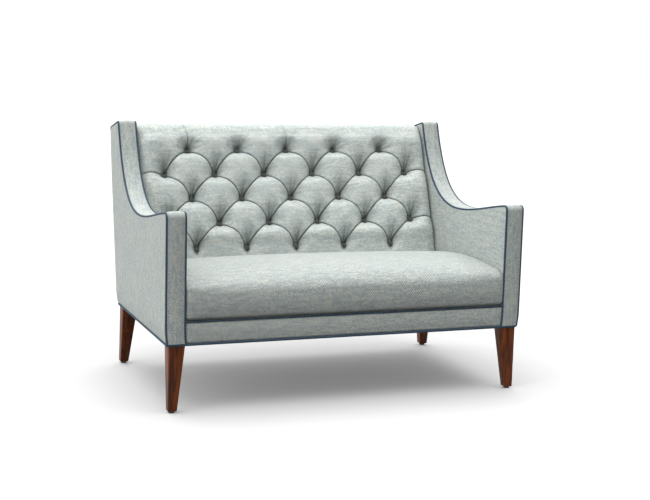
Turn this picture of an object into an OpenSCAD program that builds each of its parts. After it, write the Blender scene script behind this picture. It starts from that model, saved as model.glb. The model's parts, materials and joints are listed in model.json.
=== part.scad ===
// High back settee: beech frame, sprung webbing, tight crowned seat, deep buttoned back,
// piped arm facings and four tapered legs. X runs along the settee, the front faces -Y, Z is up.
// The side view is drawn with Y measured back from the front of the arms, and the whole settee is
// then moved so that the middle of its footprint on the floor is the origin.

/* [Overall] */
// Width over the outsides of the arms
settee_w = 1300; // [1150:10:1900]
// Depth from the front of the arms to the top of the outside back
settee_d = 859; // [820:1:900]
// Height of the upholstered body above the floor
base_h = 230; // [150:5:280]
// Height of the arm at its front
arm_h = 667; // [650:1:690]
// How far the arm top falls from its front to its lowest point
arm_dip = 55; // [40:1:70]
// Height of the front tip of the wing
wing_h = 915; // [880:1:960]
// How much lower the back corner of the wing is than its front tip
rear_drop = 31; // [15:1:45]

/* [Side outline] */
// How far the lowest point of the arm top is in front of the back corner
dip_in = 469; // [430:1:515]
// How far the front tip of the wing is in front of the back corner
wing_in = 133; // [120:1:155]
// How far the bottom edge of the back is in front of the back corner
base_in = 117; // [90:1:135]
// Radius of the front corner of the arm
arm_corner_r = 18; // [8:1:24]
// Radius of the front tip of the wing
wing_corner_r = 12; // [6:1:20]
// Radius of the back corner of the wing
rear_corner_r = 12; // [6:1:20]

/* [Arms] */
// Thickness of a finished arm
arm_t = 66; // [56:1:90]
// Thickness of the outside cover and its board
outside_t = 8; // [5:1:12]
// Thickness of the inside arm padding
inside_t = 12; // [8:1:18]
// Thickness of the piped facing along the front and top of an arm
facing_t = 8; // [5:1:12]

/* [Seat] */
// Height of the seat at its sides, at the highest point
seat_h = 448; // [435:1:460]
// How much higher the seat is along its middle line
seat_crown = 14; // [0:1:24]
// How far back the highest point of the seat is
seat_peak_y = 250; // [200:5:300]
// Height of the seam between the seat and the front border
seat_seam_h = 309; // [300:1:318]
// Radius of the front edge of the seat
seat_edge_r = 44; // [30:1:50]
// How far the padding is drawn in at the sides of the seat
seat_draw = 12; // [0:1:16]
// How far the front of the seat swells past the arms
seat_swell = 4; // [0:1:8]
// Thickness of the padding down the front of the seat
seat_front_t = 22; // [15:1:30]

/* [Buttoned back] */
// How much lower the highest row of buttons is than the front tip of the wing
top_button_drop = 114; // [104:1:125]
// How far the highest row of buttons is in front of the back corner of the wing
top_button_in = 137; // [125:1:150]
// Lean of the inside back from upright, in degrees
back_lean = 22.8; // [18:0.1:25]
// Distance between rows of buttons, up the slope
row_step = 94.4; // [85:0.1:100]
// How far the diamonds swell in front of the buttons
tuft_depth = 50; // [30:1:54]
// How much lower the top edge of the inside back is than the front tip of the wing
back_top_drop = 26; // [20:1:35]
// Radius of the roll over the top of the inside back
back_roll_r = 38; // [25:1:45]
// Thickness of the buttoned padding behind the buttons
pad_t = 15; // [10:1:20]
// Thickness of the foam slab behind the padding
back_foam_t = 30; // [20:1:40]
// Radius of a covered button
button_r = 9; // [6:0.5:11]
// Height of a covered button
button_t = 5; // [3:0.5:7]

/* [Piping] */
// Diameter of the piping
bead_d = 7; // [4:0.5:8]
// How far the piping stands proud of the covers
bead_proud = 1; // [0:0.5:2]
// Radius of the corners of the piping round the bottom edge
base_corner_r = 8; // [6:0.5:10]

/* [Frame] */
// Depth of the front arm posts
post_d = 50; // [40:1:70]
// Depth of the sloping back posts
back_post_d = 60; // [50:1:75]
// Depth of the stiles that carry the inside back
stile_d = 50; // [40:1:60]
// Thickness of the cross rails
rail_t = 30; // [22:1:35]
// Height of the seat platform, at the top of the seat rails
platform_h = 298; // [285:1:300]
// Depth of the curved arm rail
arm_rail_d = 45; // [35:1:60]
// Width of the webbing
web_w = 60; // [50:1:75]
// Thickness of the webbing
web_t = 2; // [1:0.5:3]
// Number of long seat webs
seat_web_count = 9; // [5:1:12]
// Number of cross seat webs
cross_web_count = 5; // [3:1:6]

/* [Legs] */
// Width of a front leg at its top
leg_top = 56; // [45:1:64]
// Width of a leg at its foot
leg_foot = 30; // [22:1:40]
// How far the legs stand in from the outsides of the arms
leg_inset = 13; // [4:1:18]
// How far the front legs stand back from the front of the arms
leg_front_inset = 4; // [2:1:10]
// How far the foot of a rear leg is raked back
leg_rake = 16; // [0:1:25]
// Radius of a glide
glide_r = 11; // [8:0.5:13]
// Height of a glide
glide_t = 7; // [4:1:10]
// Radius of the hanger bolt in each leg
bolt_r = 4; // [3:0.5:5]

/* [Hidden] */

// Gap left between soft pieces that lie against each other
seam = 0.3;
// Overrun of a cutting shape
over = 10;
// Thickness of the dust cloth under the frame
dust_t = 1.5;
// Radius of the piping and how far its centre lies inside the outline
bead_r = bead_d / 2;
bead_in = bead_r - bead_proud;
// Heights at which the covers and the frame start, above the bottom piping and the dust cloth
cover_low = base_h + bead_d + seam;
frame_low = base_h + dust_t;
// Inner and outer faces of the arms and of their frames, from the middle of the settee
outer_x = settee_w / 2;
inner_x = outer_x - arm_t;
frame_out = outer_x - outside_t;
frame_in = inner_x + inside_t;
frame_t = frame_out - frame_in;
// Half the width of the seat and of the inside back
pad_x = inner_x - seam;
// Places in the side view, worked out from the back corner and the tip of the wing
dip_y = settee_d - dip_in;
wing_y = settee_d - wing_in;
base_y = settee_d - base_in;
top_button_y = settee_d - top_button_in;
dip_h = arm_h - arm_dip;
rear_h = wing_h - rear_drop;
top_button_h = wing_h - top_button_drop;
back_top_h = wing_h - back_top_drop;
// The body is moved forward by half its depth, with the swell of the seat
middle_y = (settee_d - seat_swell) / 2;

// Handles of the curves of the side outline, as shares of their spans along Y and Z
arm_shares = [[0.31, 0.78], [0.67, 0]];
wing_shares = [[0.505, 0], [0.79, 0.29]];
rear_shares = [[0.855, 0.72], [0.256, 0.29]];
// Steps along each curve and round each corner
arm_steps = 10;
wing_steps = 12;
rear_steps = 8;
corner_steps = 4;

function unit(v) = v / norm(v);
function mix(a, b, share) = a + (b - a) * share;
function curve(p, t) =
    pow(1 - t, 3) * p[0] + 3 * t * pow(1 - t, 2) * p[1] + 3 * t * t * (1 - t) * p[2] + pow(t, 3) * p[3];
// Points round a corner at b, between the directions of a and c
function corner(a, b, c, r, steps) =
    let (
        u = unit(a - b),
        v = unit(c - b),
        half = acos(u * v) / 2,
        o = b + unit(u + v) * r / sin(half),
        s = b + u * r / tan(half),
        e = b + v * r / tan(half)
    )
    [for (i = [0:steps]) o + r * unit((s - o) * (steps - i) + (e - o) * i)];

arm_front = [0, arm_h];
dip = [dip_y, dip_h];
wing_tip = [wing_y, wing_h];
rear_tip = [settee_d, rear_h];
base_rear = [base_y, cover_low];
arm_curve = [
    arm_front,
    [mix(0, dip_y, arm_shares[0][0]), mix(dip_h, arm_h, arm_shares[0][1])],
    [mix(0, dip_y, arm_shares[1][0]), mix(dip_h, arm_h, arm_shares[1][1])],
    dip];
wing_curve = [
    dip,
    [mix(dip_y, wing_y, wing_shares[0][0]), mix(dip_h, wing_h, wing_shares[0][1])],
    [mix(dip_y, wing_y, wing_shares[1][0]), mix(dip_h, wing_h, wing_shares[1][1])],
    wing_tip];
rear_curve = [
    rear_tip,
    [mix(base_y, settee_d, rear_shares[0][0]), mix(cover_low, rear_h, rear_shares[0][1])],
    [mix(base_y, settee_d, rear_shares[1][0]), mix(cover_low, rear_h, rear_shares[1][1])],
    base_rear];

// Side outline in Y and Z, from the bottom of the arm front over the wing to the bottom of the back
outline = concat(
    [[0, cover_low]],
    corner([0, cover_low], arm_front, curve(arm_curve, 1 / arm_steps), arm_corner_r, corner_steps),
    [for (i = [2:arm_steps]) curve(arm_curve, i / arm_steps)],
    [for (i = [1:wing_steps - 1]) curve(wing_curve, i / wing_steps)],
    corner(curve(wing_curve, 1 - 1 / wing_steps), wing_tip, rear_tip, wing_corner_r, corner_steps),
    corner(wing_tip, rear_tip, curve(rear_curve, 1 / rear_steps), rear_corner_r, corner_steps),
    [for (i = [2:rear_steps]) curve(rear_curve, i / rear_steps)]);
outline_end = len(outline) - 1;
// Place in the outline where the back corner of the wing ends
rear_place = outline_end - rear_steps + 1;

// Direction of the outline at a point, and the point moved into the body
function outline_way(i) = unit(outline[min(i + 1, outline_end)] - outline[max(i - 1, 0)]);
function inward(i, d) = outline[i] + d * [outline_way(i)[1], -outline_way(i)[0]];
function strip(from, to, near, far) = concat(
    [for (i = [from:to]) inward(i, near)],
    [for (i = [to:-1:from]) inward(i, far)]);
// The whole side view, moved in by d and carried down to the bottom of the frame
function body_shape(d) = concat(
    [[d, frame_low]],
    [for (i = [0:outline_end]) inward(i, d)],
    [[inward(outline_end, d)[0], frame_low]]);

// The inside back: its button plane, and planes at a distance w in front of it
lean_way = [sin(back_lean), cos(back_lean)];
face_way = [-cos(back_lean), sin(back_lean)];
top_button = [top_button_y, top_button_h];
function plane_y(w, z) =
    top_button_y + (z - top_button_h) * tan(back_lean) - w / cos(back_lean);
function on_plane(v, w) = top_button + v * lean_way + w * face_way;
// As many rows of buttons as there is room for above the seat
row_count = floor((top_button_h - seat_h) / (row_step * cos(back_lean))) + 1;
low_row = -(row_count - 1) * row_step;
foam_front_w = -pad_t - seam;
foam_back_w = foam_front_w - back_foam_t;
wide_web_w = foam_back_w - seam;
tall_web_w = wide_web_w - web_t - seam;
frame_w = tall_web_w - web_t;

// A side view shape given thickness along X, between two distances from the middle
module slab(x_from, x_to)
    translate([x_from, 0, 0])
        rotate([90, 0, 90])
            linear_extrude(x_to - x_from)
                children();
// Everything is drawn with Y from the front of the arms, then moved over the origin
module placed()
    translate([0, -middle_y, 0])
        children();
module on_left()
    mirror([1, 0, 0])
        children();

// A round cord along a flat path; up is square to the plane of the path
module bead(path, up, r, loop) {
    n = len(path);
    sides = 8;
    rings = [for (i = [0:n - 1])
        let (
            way = loop
                ? unit(path[(i + 1) % n] - path[(i + n - 1) % n])
                : unit(path[min(i + 1, n - 1)] - path[max(i - 1, 0)]),
            out = cross(way, up)
        )
        [for (k = [0:sides - 1])
            path[i] + r * (cos(360 * k / sides) * up + sin(360 * k / sides) * out)]];
    points = [for (ring = rings) for (p = ring) p];
    spans = loop ? n : n - 1;
    walls = [for (i = [0:spans - 1]) for (k = [0:sides - 1])
        let (
            a = i * sides + k,
            b = i * sides + (k + 1) % sides,
            c = ((i + 1) % n) * sides + (k + 1) % sides,
            d = ((i + 1) % n) * sides + k
        )
        each [[a, d, c], [a, c, b]]];
    caps = loop ? [] : concat(
        [for (k = [1:sides - 2]) [0, k, k + 1]],
        [for (k = [1:sides - 2]) [(n - 1) * sides, (n - 1) * sides + k + 1, (n - 1) * sides + k]]);
    polyhedron(points, concat(walls, caps), convexity = 4);
}

// A skin between a row of rings, each with an outer line and an inner line of equal length
module skin(rings) {
    n = len(rings);
    m = len(rings[0]);
    half = m / 2;
    points = [for (ring = rings) for (p = ring) p];
    walls = [for (i = [0:n - 2]) for (k = [0:m - 1])
        let (
            a = i * m + k,
            b = i * m + (k + 1) % m,
            c = (i + 1) * m + (k + 1) % m,
            d = (i + 1) * m + k
        )
        each [[a, b, c], [a, c, d]]];
    first = [for (k = [0:half - 2])
        each [[k, m - 1 - k, m - 2 - k], [k, m - 2 - k, k + 1]]];
    last = [for (f = first) (n - 1) * m * [1, 1, 1] + [f[2], f[1], f[0]]];
    polyhedron(points, concat(walls, first, last), convexity = 6);
}

// Frame
module arm_post() {
    color("burlywood")
    placed()
    difference() {
        slab(frame_in, frame_out)
            intersection() {
                polygon(body_shape(facing_t));
                translate([0, frame_low])
                    square([facing_t + post_d, arm_h]);
            }
        insert_hole(front_bolt);
    }
}
arm_joint_y = facing_t + post_d;
board_low = dip_h - facing_t;
// Where the arm rail meets the wing board, as a share of the way from the dip to the wing
wing_joint_share = 0.18;
wing_joint_y = mix(dip_y, wing_y, wing_joint_share);
// The arm rail is a little deeper at its front end, where it meets the post
rail_front_share = 1.2;
rail_front_low = arm_h - facing_t - rail_front_share * arm_rail_d;
module arm_rail() {
    rail_low = board_low - arm_rail_d;
    color("burlywood")
    placed()
    slab(frame_in, frame_out)
        intersection() {
            polygon(body_shape(facing_t));
            polygon([
                [arm_joint_y, arm_h],
                [arm_joint_y, rail_front_low],
                [dip_y, rail_low],
                [plane_y(frame_w, rail_low), rail_low],
                [plane_y(frame_w, board_low), board_low],
                [wing_joint_y, board_low],
                [wing_joint_y, arm_h]]);
        }
}
module wing_board() {
    color("burlywood")
    placed()
    slab(frame_in, frame_out)
        intersection() {
            polygon(body_shape(facing_t));
            polygon([
                [wing_joint_y, board_low],
                [plane_y(frame_w, board_low), board_low],
                [plane_y(frame_w, wing_h), wing_h],
                [wing_joint_y, wing_h]]);
        }
}
// Side view of a back post: a band along the outline of the outside back
module back_post_shape()
    intersection() {
        polygon(body_shape(facing_t));
        polygon(concat(
            [[inward(outline_end, facing_t + back_post_d)[0], frame_low]],
            [for (i = [outline_end:-1:rear_place]) inward(i, facing_t + back_post_d)],
            [[plane_y(frame_w, wing_h), wing_h], [settee_d, wing_h], [settee_d, frame_low]]));
        polygon([
            [plane_y(frame_w, 0), 0],
            [plane_y(frame_w, wing_h), wing_h],
            [2 * settee_d, wing_h],
            [2 * settee_d, 0]]);
    }
module back_post() {
    color("burlywood")
    placed()
    difference() {
        slab(frame_in, frame_out)
            back_post_shape();
        insert_hole(back_bolt);
    }
}
// How far the back stile stops below the highest buttons, as a share of its depth
stile_stop_share = 0.2;
module back_stile() {
    stile_top = top_button_h - stile_stop_share * stile_d;
    color("burlywood")
    placed()
    slab(frame_in, frame_out)
        difference() {
            polygon([
                [plane_y(frame_w, platform_h), platform_h],
                [plane_y(frame_w, stile_top), stile_top],
                [plane_y(frame_w - stile_d, stile_top), stile_top],
                [plane_y(frame_w - stile_d, platform_h), platform_h]]);
            back_post_shape();
        }
}
module side_rail() {
    color("burlywood")
    placed()
    slab(frame_in, frame_out)
        difference() {
            translate([arm_joint_y, frame_low])
                square([base_y - facing_t - back_post_d / 2 - arm_joint_y, platform_h - frame_low]);
            back_post_shape();
        }
}
module front_rail() {
    color("burlywood")
    placed()
    translate([-frame_in, facing_t, frame_low])
        cube([2 * frame_in, rail_t, platform_h - frame_low]);
}
seat_back_y = plane_y(frame_w, platform_h);
module seat_back_rail() {
    color("burlywood")
    placed()
    translate([-frame_in, seat_back_y, frame_low])
        cube([2 * frame_in, rail_t, platform_h - frame_low]);
}
module rear_rail() {
    color("burlywood")
    placed()
    slab(-frame_in, frame_in)
        intersection() {
            polygon(body_shape(facing_t));
            translate([base_y - facing_t - rail_t, frame_low])
                square([settee_d, platform_h - frame_low]);
        }
}
module top_rail() {
    color("burlywood")
    placed()
    slab(-frame_in, frame_in)
        intersection() {
            polygon(body_shape(facing_t));
            polygon([
                [0, top_button_h],
                roll_inner[0],
                roll_inner[1],
                [settee_d, top_button_h]]);
            polygon([
                [plane_y(frame_w, 0), 0],
                [plane_y(frame_w, wing_h), wing_h],
                [2 * settee_d, wing_h],
                [2 * settee_d, 0]]);
        }
}
// The low rail of the inside back stands a little above the seat platform
low_rail_lift = 68;
low_rail_d = 60;
low_rail_v = (platform_h + low_rail_lift - top_button_h) / cos(back_lean);
module back_low_rail() {
    place = on_plane(low_rail_v, frame_w);
    color("burlywood")
    placed()
    translate([-frame_in, place[0], place[1]])
        rotate([-back_lean, 0, 0])
            cube([2 * frame_in, rail_t, low_rail_d]);
}
module back_centre_stile() {
    color("burlywood")
    placed()
    slab(-frame_t / 2, frame_t / 2)
        polygon([
            on_plane(low_rail_v + low_rail_d, frame_w),
            [plane_y(frame_w, top_button_h), top_button_h],
            [plane_y(frame_w - rail_t, top_button_h), top_button_h],
            on_plane(low_rail_v + low_rail_d, frame_w - rail_t)]);
}
module seat_brace() {
    color("burlywood")
    placed()
    translate([-rail_t / 2, facing_t + rail_t, frame_low])
        cube([rail_t, seat_back_y - facing_t - rail_t, platform_h - frame_low]);
}
// Legs of a corner block, in rail thicknesses
block_share = 2;
block_leg = block_share * rail_t;
module corner_blocks() {
    color("tan")
    placed()
    for (side = [-1, 1], front = [true, false])
        translate([side * frame_in, front ? facing_t + rail_t : seat_back_y, frame_low])
            linear_extrude(block_leg)
                polygon([[0, 0], [-side * block_leg, 0], [0, front ? block_leg : -block_leg]]);
}

// Webbing
module seat_webs_long() {
    pitch = 2 * frame_in / seat_web_count;
    color("dimgray")
    placed()
    for (i = [0:seat_web_count - 1])
        translate([-frame_in + (i + 0.5) * pitch - web_w / 2, facing_t, platform_h])
            cube([web_w, seat_back_y + rail_t - facing_t, web_t]);
}
module seat_webs_cross() {
    run = seat_back_y - facing_t - rail_t;
    pitch = run / cross_web_count;
    color("gray")
    placed()
    for (i = [0:cross_web_count - 1])
        translate([-frame_in, facing_t + rail_t + (i + 0.5) * pitch - web_w / 2, platform_h + web_t])
            cube([2 * frame_in, web_w, web_t]);
}
back_web_count = 7;
module back_webs_tall() {
    place = on_plane(low_rail_v, tall_web_w);
    reach = norm(on_plane(0, tall_web_w) - place) + low_rail_d;
    pitch = 2 * pad_x / back_web_count;
    color("dimgray")
    placed()
    for (i = [0:back_web_count - 1])
        translate([-pad_x + (i + 0.5) * pitch - web_w / 2, place[0], place[1]])
            rotate([-back_lean, 0, 0])
                cube([web_w, web_t, reach]);
}
module back_webs_wide() {
    color("gray")
    placed()
    for (i = [0:row_count - 2]) {
        place = on_plane(low_row + (i + 0.5) * row_step - web_w / 2, wide_web_w);
        translate([-frame_in, place[0], place[1]])
            rotate([-back_lean, 0, 0])
                cube([2 * frame_in, web_t, web_w]);
    }
}

// Seat
// The seat stops in front of the button plane, where the lowest diamonds are flatter
seat_rear_share = 0.42;
seat_rear_w = tuft_depth * seat_rear_share;
seat_low = seat_seam_h + bead_r + seam;
seat_under = platform_h + 2 * web_t;
// Depth of padding over the foam core, and the reach of the curve of the seat's top
foam_depth_share = 1.7;
fall_reach_share = 1.9;
foam_top = seat_h - seat_edge_r * foam_depth_share;
module seat_foam() {
    color("lightyellow")
    placed()
    slab(-pad_x, pad_x)
        polygon([
            [facing_t + seat_front_t, seat_under],
            [facing_t + seat_front_t, foam_top],
            [plane_y(seat_rear_w, foam_top), foam_top],
            [plane_y(seat_rear_w, seat_under), seat_under]]);
}
// Stations across the seat: how far out, and how much of the draw-in the padding has there
seat_station_shares = [[1, 1], [0.99, 0.4], [0.965, 0.06], [0.9, 0], [0.7, 0], [0.45, 0], [0.2, 0]];
// Places of the top points from the front edge to the back, as shares of the seat's depth
seat_top_shares = [0.18, 0.32, 0.46, 0.6, 0.74, 0.87, 1];
// Places of the points up the front of the seat, as shares of its height
front_shares = [0.35, 0.7];
// Turn of the front edge in degrees, its steps, and the crown lost towards the back
edge_turn = 84;
edge_steps = 5;
crown_loss_share = 0.4;
// Height of the seat at its side, y behind the front of the arms
function seat_side_z(y) =
    seat_h - (seat_h - foam_top) * pow((y - seat_peak_y) / (seat_peak_y * fall_reach_share), 2);
function seat_line(crown, draw) =
    let (
        back_top = seat_side_z(plane_y(seat_rear_w, seat_h)),
        back_y = plane_y(seat_rear_w, back_top),
        edge_z = seat_side_z(seat_edge_r) + crown - seat_edge_r,
        front = draw - seat_swell
    )
    concat(
        [[draw, seat_low]],
        [for (s = front_shares) [front, mix(seat_low, edge_z, s)]],
        [for (i = [0:edge_steps])
            let (turn = 180 - edge_turn * i / edge_steps)
            [front + seat_edge_r, edge_z - draw] + seat_edge_r * [cos(turn), sin(turn)]],
        [for (s = seat_top_shares)
            let (y = mix(seat_edge_r, back_y, s))
            [y, seat_side_z(y) + crown * (1 - crown_loss_share * s) - draw]]);
function seat_under_line() =
    let (back_y = plane_y(seat_rear_w, foam_top))
    concat(
        [for (s = concat([0], front_shares)) [facing_t + seat_front_t - seam, mix(seat_low, foam_top, s)]],
        [for (i = [0:edge_steps])
            [facing_t + seat_front_t - seam + i * seam, foam_top + seam]],
        [for (s = seat_top_shares) [mix(seat_edge_r, back_y, s), foam_top + seam]]);
module seat_pad() {
    half = [for (s = seat_station_shares)
        [s[0] * pad_x, seat_crown * (1 - s[0] * s[0]), s[1] * seat_draw]];
    last = len(half) - 1;
    stations = concat(
        [for (s = half) [-s[0], s[1], s[2]]],
        [[0, seat_crown, 0]],
        [for (i = [last:-1:0]) half[i]]);
    under = seat_under_line();
    count = len(under) - 1;
    color("lightsteelblue")
    placed()
    skin([for (s = stations)
        concat(
            [for (p = seat_line(s[1], s[2])) [s[0], p[0], p[1]]],
            [for (i = [count:-1:0]) [s[0], under[i][0], under[i][1]]])]);
}
// The border and the seat piping stop at the piping of the arms
border_x = inner_x - bead_proud - seam;
module front_border() {
    color("lightsteelblue")
    placed()
    translate([-border_x, 0, cover_low])
        cube([2 * border_x, facing_t, seat_seam_h - bead_r - seam - cover_low]);
}
module seat_piping() {
    color("darkslateblue")
    placed()
    translate([-border_x, bead_in, seat_seam_h])
        rotate([0, 90, 0])
            cylinder(r = bead_r, h = 2 * border_x, $fn = 32);
}

// Buttoned back
// Six button spacings fill the width between the arms
spacing_count = 6;
button_step = 2 * pad_x / spacing_count;
// Steps of the surface between a button and the next one in the rows above and below
grid = 4;
// Share of the swell that the fabric has along a pleat, and the sharpness of its rise
pleat_share = 0.86;
rise_share = 0.6;
fold_share = 0.5;
// Shares of the swell left below the lowest buttons and at the side edges
low_swell_share = 0.4;
side_swell_share = 0.1;
// Swell of the diamonds at a place u along and v up from the middle of the highest row
function swell(u, v) =
    let (
        past = abs(u) - (spacing_count - 1) * button_step / 2,
        outside = v > 0 ? v : (v < low_row ? low_row - v : 0),
        along = 180 * u / button_step,
        across = 90 * v / row_step,
        gap = past > 0
            ? cos(180 * past / button_step) * cos(across + 90)
            : (outside > 0
                ? cos(along) * cos(90 * min(1, outside / row_step))
                : cos(along + across) * cos(along - across)),
        fold = past > 0
            ? sin(across + 90)
            : (outside > 0 ? sin(along) : sin(along + across) * sin(along - across)),
        edge = past > 0 ? mix(1, side_swell_share, 2 * past / button_step) : 1,
        low = v < low_row ? low_swell_share : 1
    )
    tuft_depth * edge * low
        * (pleat_share * pow(max(0, 1 - abs(gap)), rise_share)
            + (1 - pleat_share) * pow(abs(fold), fold_share));

// The button surface seen from the side: a straight slope, a roll and a run to the outside back
top_slope = atan((wing_h - rear_h) / (settee_d - wing_y));
roll_turn = 90 - back_lean + top_slope;
roll_start_v = (back_top_h - back_roll_r - top_button_h + back_roll_r * sin(back_lean)) / cos(back_lean);
roll_centre = on_plane(roll_start_v, -back_roll_r);
roll_end_out = [sin(top_slope), cos(top_slope)];
roll_end = roll_centre + back_roll_r * roll_end_out;
roll_rear_y = inward(rear_place, facing_t)[0] - 2 * seam;
roll_rear = roll_end
    + [cos(top_slope), -sin(top_slope)] * (roll_rear_y - roll_end[0]) / cos(top_slope);
roll_steps = 2;
// Under side of the padding over the top rail, where the rail fits
roll_inner = [
    roll_end - (pad_t + seam) * roll_end_out,
    roll_rear - (pad_t + seam) * roll_end_out];
// Shares of the swell left on the roll
roll_swell_shares = [0.3, 0.05];
// Share of the way up from the highest row to the roll where one more row of points lies
top_row_share = 0.4;
// Each row of points: place in the side view, way out of the surface, distance up, share of the swell
back_rows = concat(
    [[on_plane(low_rail_v, 0), face_way, low_rail_v, 0]],
    [for (i = [-1:grid * (row_count - 1)])
        let (v = low_row + i * row_step / grid)
        [on_plane(v, 0), face_way, v, 1]],
    [for (share = [top_row_share, 1])
        let (v = share * roll_start_v)
        [on_plane(v, 0), face_way, v, 1]],
    [for (i = [1:roll_steps])
        let (
            turn = 180 - back_lean - i * roll_turn / roll_steps,
            out = [cos(turn), sin(turn)]
        )
        [roll_centre + back_roll_r * out, out, row_step, roll_swell_shares[i - 1]]],
    [[roll_rear, roll_end_out, row_step, 0]]);
// Whether a count is whole and even, within the rounding of the sums that led to it
rounding_share = 0.01;
function whole_and_even(n) = abs(n / 2 - round(n / 2)) < rounding_share;
module back_pad() {
    columns = 2 * spacing_count * grid;
    rows = len(back_rows);
    column_w = 2 * pad_x / columns;
    per_row = columns + 1;
    face_points = [for (row = back_rows) for (c = [0:columns])
        let (
            u = -pad_x + c * column_w,
            p = row[0] + row[1] * row[3] * swell(u, row[2])
        )
        [u, p[0], p[1]]];
    under_points = [for (row = back_rows) for (side = [-1, 1])
        let (p = row[0] - row[1] * pad_t)
        [side * pad_x, p[0], p[1]]];
    first_under = len(face_points);
    // Each cell is split along the pleat that crosses it
    face = [for (r = [0:rows - 2]) for (c = [0:columns - 1])
        let (
            a = r * per_row + c,
            b = a + per_row,
            v = back_rows[r][2] / row_step,
            u = 2 * (-pad_x + (c + 1) * column_w) / button_step,
            leans_left = v < 0 && whole_and_even(u + v)
        )
        each leans_left
            ? [[a, b, a + 1], [a + 1, b, b + 1]]
            : [[a, b, b + 1], [a, b + 1, a + 1]]];
    under = [for (r = [0:rows - 2])
        let (a = first_under + 2 * r)
        each [[a, a + 1, a + 3], [a, a + 3, a + 2]]];
    sides = [for (r = [0:rows - 2])
        let (a = first_under + 2 * r, l = r * per_row, m = l + columns)
        each [
            [l, a, a + 2], [l, a + 2, l + per_row],
            [m, a + 3, a + 1], [m, m + per_row, a + 3]]];
    low_end = concat(
        [for (c = [0:columns - 1]) [first_under, c, c + 1]],
        [[first_under, columns, first_under + 1]]);
    last_face = (rows - 1) * per_row;
    last_under = first_under + 2 * (rows - 1);
    top_end = concat(
        [for (c = [0:columns - 1]) [last_under, last_face + c + 1, last_face + c]],
        [[last_under, last_under + 1, last_face + columns]]);
    color("lightsteelblue")
    placed()
    polyhedron(concat(face_points, under_points),
        concat(face, under, sides, low_end, top_end), convexity = 10);
}
module back_foam() {
    color("lightyellow")
    placed()
    slab(-pad_x, pad_x)
        polygon([
            on_plane(low_rail_v, foam_front_w),
            on_plane(roll_start_v, foam_front_w),
            on_plane(roll_start_v, foam_back_w),
            on_plane(low_rail_v, foam_back_w)]);
}
// Height of the padding at the rim of a button, so that the button sits on it
button_seat_share = 0.77;
button_seat_w = button_r * button_seat_share + seam;
// Half the profile of a covered button, as shares of its radius and height
button_shares = [[0, 0], [1, 0], [1, 0.3], [0.85, 0.7], [0.5, 0.95], [0, 1]];
module button()
    rotate_extrude($fn = 24)
        polygon([for (s = button_shares) [s[0] * button_r, s[1] * button_t]]);
module buttons() {
    color("slategray")
    placed()
    for (row = [0:row_count - 1]) {
        count = row % 2 == 0 ? spacing_count - 1 : spacing_count;
        place = on_plane(-row * row_step, button_seat_w);
        for (i = [0:count - 1])
            translate([(i - (count - 1) / 2) * button_step, place[0], place[1]])
                rotate([90 - back_lean, 0, 0])
                    button();
    }
}

// Covers
module arm_inside() {
    color("lightsteelblue")
    placed()
    slab(inner_x, frame_in)
        intersection() {
            polygon(body_shape(facing_t + seam));
            polygon([
                [0, seat_under + seam],
                [plane_y(foam_back_w, seat_under + seam), seat_under + seam],
                [plane_y(foam_back_w, wing_h), wing_h],
                [0, wing_h]]);
        }
}
module arm_outside() {
    color("lightsteelblue")
    placed()
    slab(frame_out, outer_x)
        polygon(concat(
            [for (i = [0:rear_place]) inward(i, facing_t + seam)],
            [for (i = [rear_place + 1:outline_end]) outline[i]]));
}
facing_in = bead_d - bead_proud + seam;
module facing() {
    color("lightsteelblue")
    placed()
    slab(inner_x + facing_in, outer_x - facing_in)
        polygon(strip(0, rear_place, 0, facing_t));
}
module outside_back() {
    color("lightsteelblue")
    placed()
    slab(-frame_out + seam, frame_out - seam)
        polygon(strip(rear_place, outline_end, 0, facing_t));
}
dust_in = base_corner_r;
module dust_cover() {
    color("black")
    placed()
    difference() {
        translate([-outer_x + dust_in, dust_in, base_h])
            cube([2 * (outer_x - dust_in), base_y - 2 * dust_in, dust_t]);
        for (side = [-1, 1], spot = [front_bolt, back_bolt])
            translate([side * spot[0], spot[1], base_h - over])
                cylinder(r = bolt_r + seam, h = 2 * over, $fn = 32);
    }
}

// Piping
// The side piping ends just short of the outside back
module side_bead(x)
    bead([for (i = [0:rear_place])
        let (p = inward(i, bead_in) - (i == rear_place ? 2 * seam * outline_way(i) : [0, 0]))
        [x, p[0], p[1]]],
        [1, 0, 0], bead_r, false);
module piping_outer() {
    color("darkslateblue")
    placed()
    side_bead(outer_x - bead_in);
}
module piping_inner() {
    color("darkslateblue")
    placed()
    side_bead(inner_x + bead_in);
}
module base_piping() {
    x = outer_x - bead_in;
    corners = [[-x, bead_in], [-x, base_y - bead_in], [x, base_y - bead_in], [x, bead_in]];
    color("darkslateblue")
    placed()
    bead([for (i = [0:3])
        let (before = corners[(i + 3) % 4], after = corners[(i + 1) % 4])
        for (p = corner(before, corners[i], after, base_corner_r, corner_steps))
            [p[0], p[1], base_h + bead_r]],
        [0, 0, 1], bead_r, true);
}

// Legs
leg_x = outer_x - leg_inset;
leg_back_y = base_y - leg_front_inset;
// Bevel round the foot of a leg and of a glide, as a share of the glide
foot_edge_share = 1 / 3;
foot_edge = foot_edge_share * glide_t;
// Places and lengths of the fixings, as shares of the top of a leg, and the insert's of its bolt
bolt_in_share = 0.45;
bolt_length_share = 0.8;
insert_length_share = 0.5;
insert_wall_share = 1.5;
bolt_in = bolt_in_share * leg_top;
front_bolt = [leg_x - bolt_in, leg_front_inset + bolt_in];
back_bolt = [leg_x - bolt_in, leg_back_y - bolt_in];
bolt_in_leg = bolt_length_share * leg_top;
insert_h = insert_length_share * leg_top;
insert_r = insert_wall_share * bolt_r;
bolt_gap = 0.15;
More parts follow.
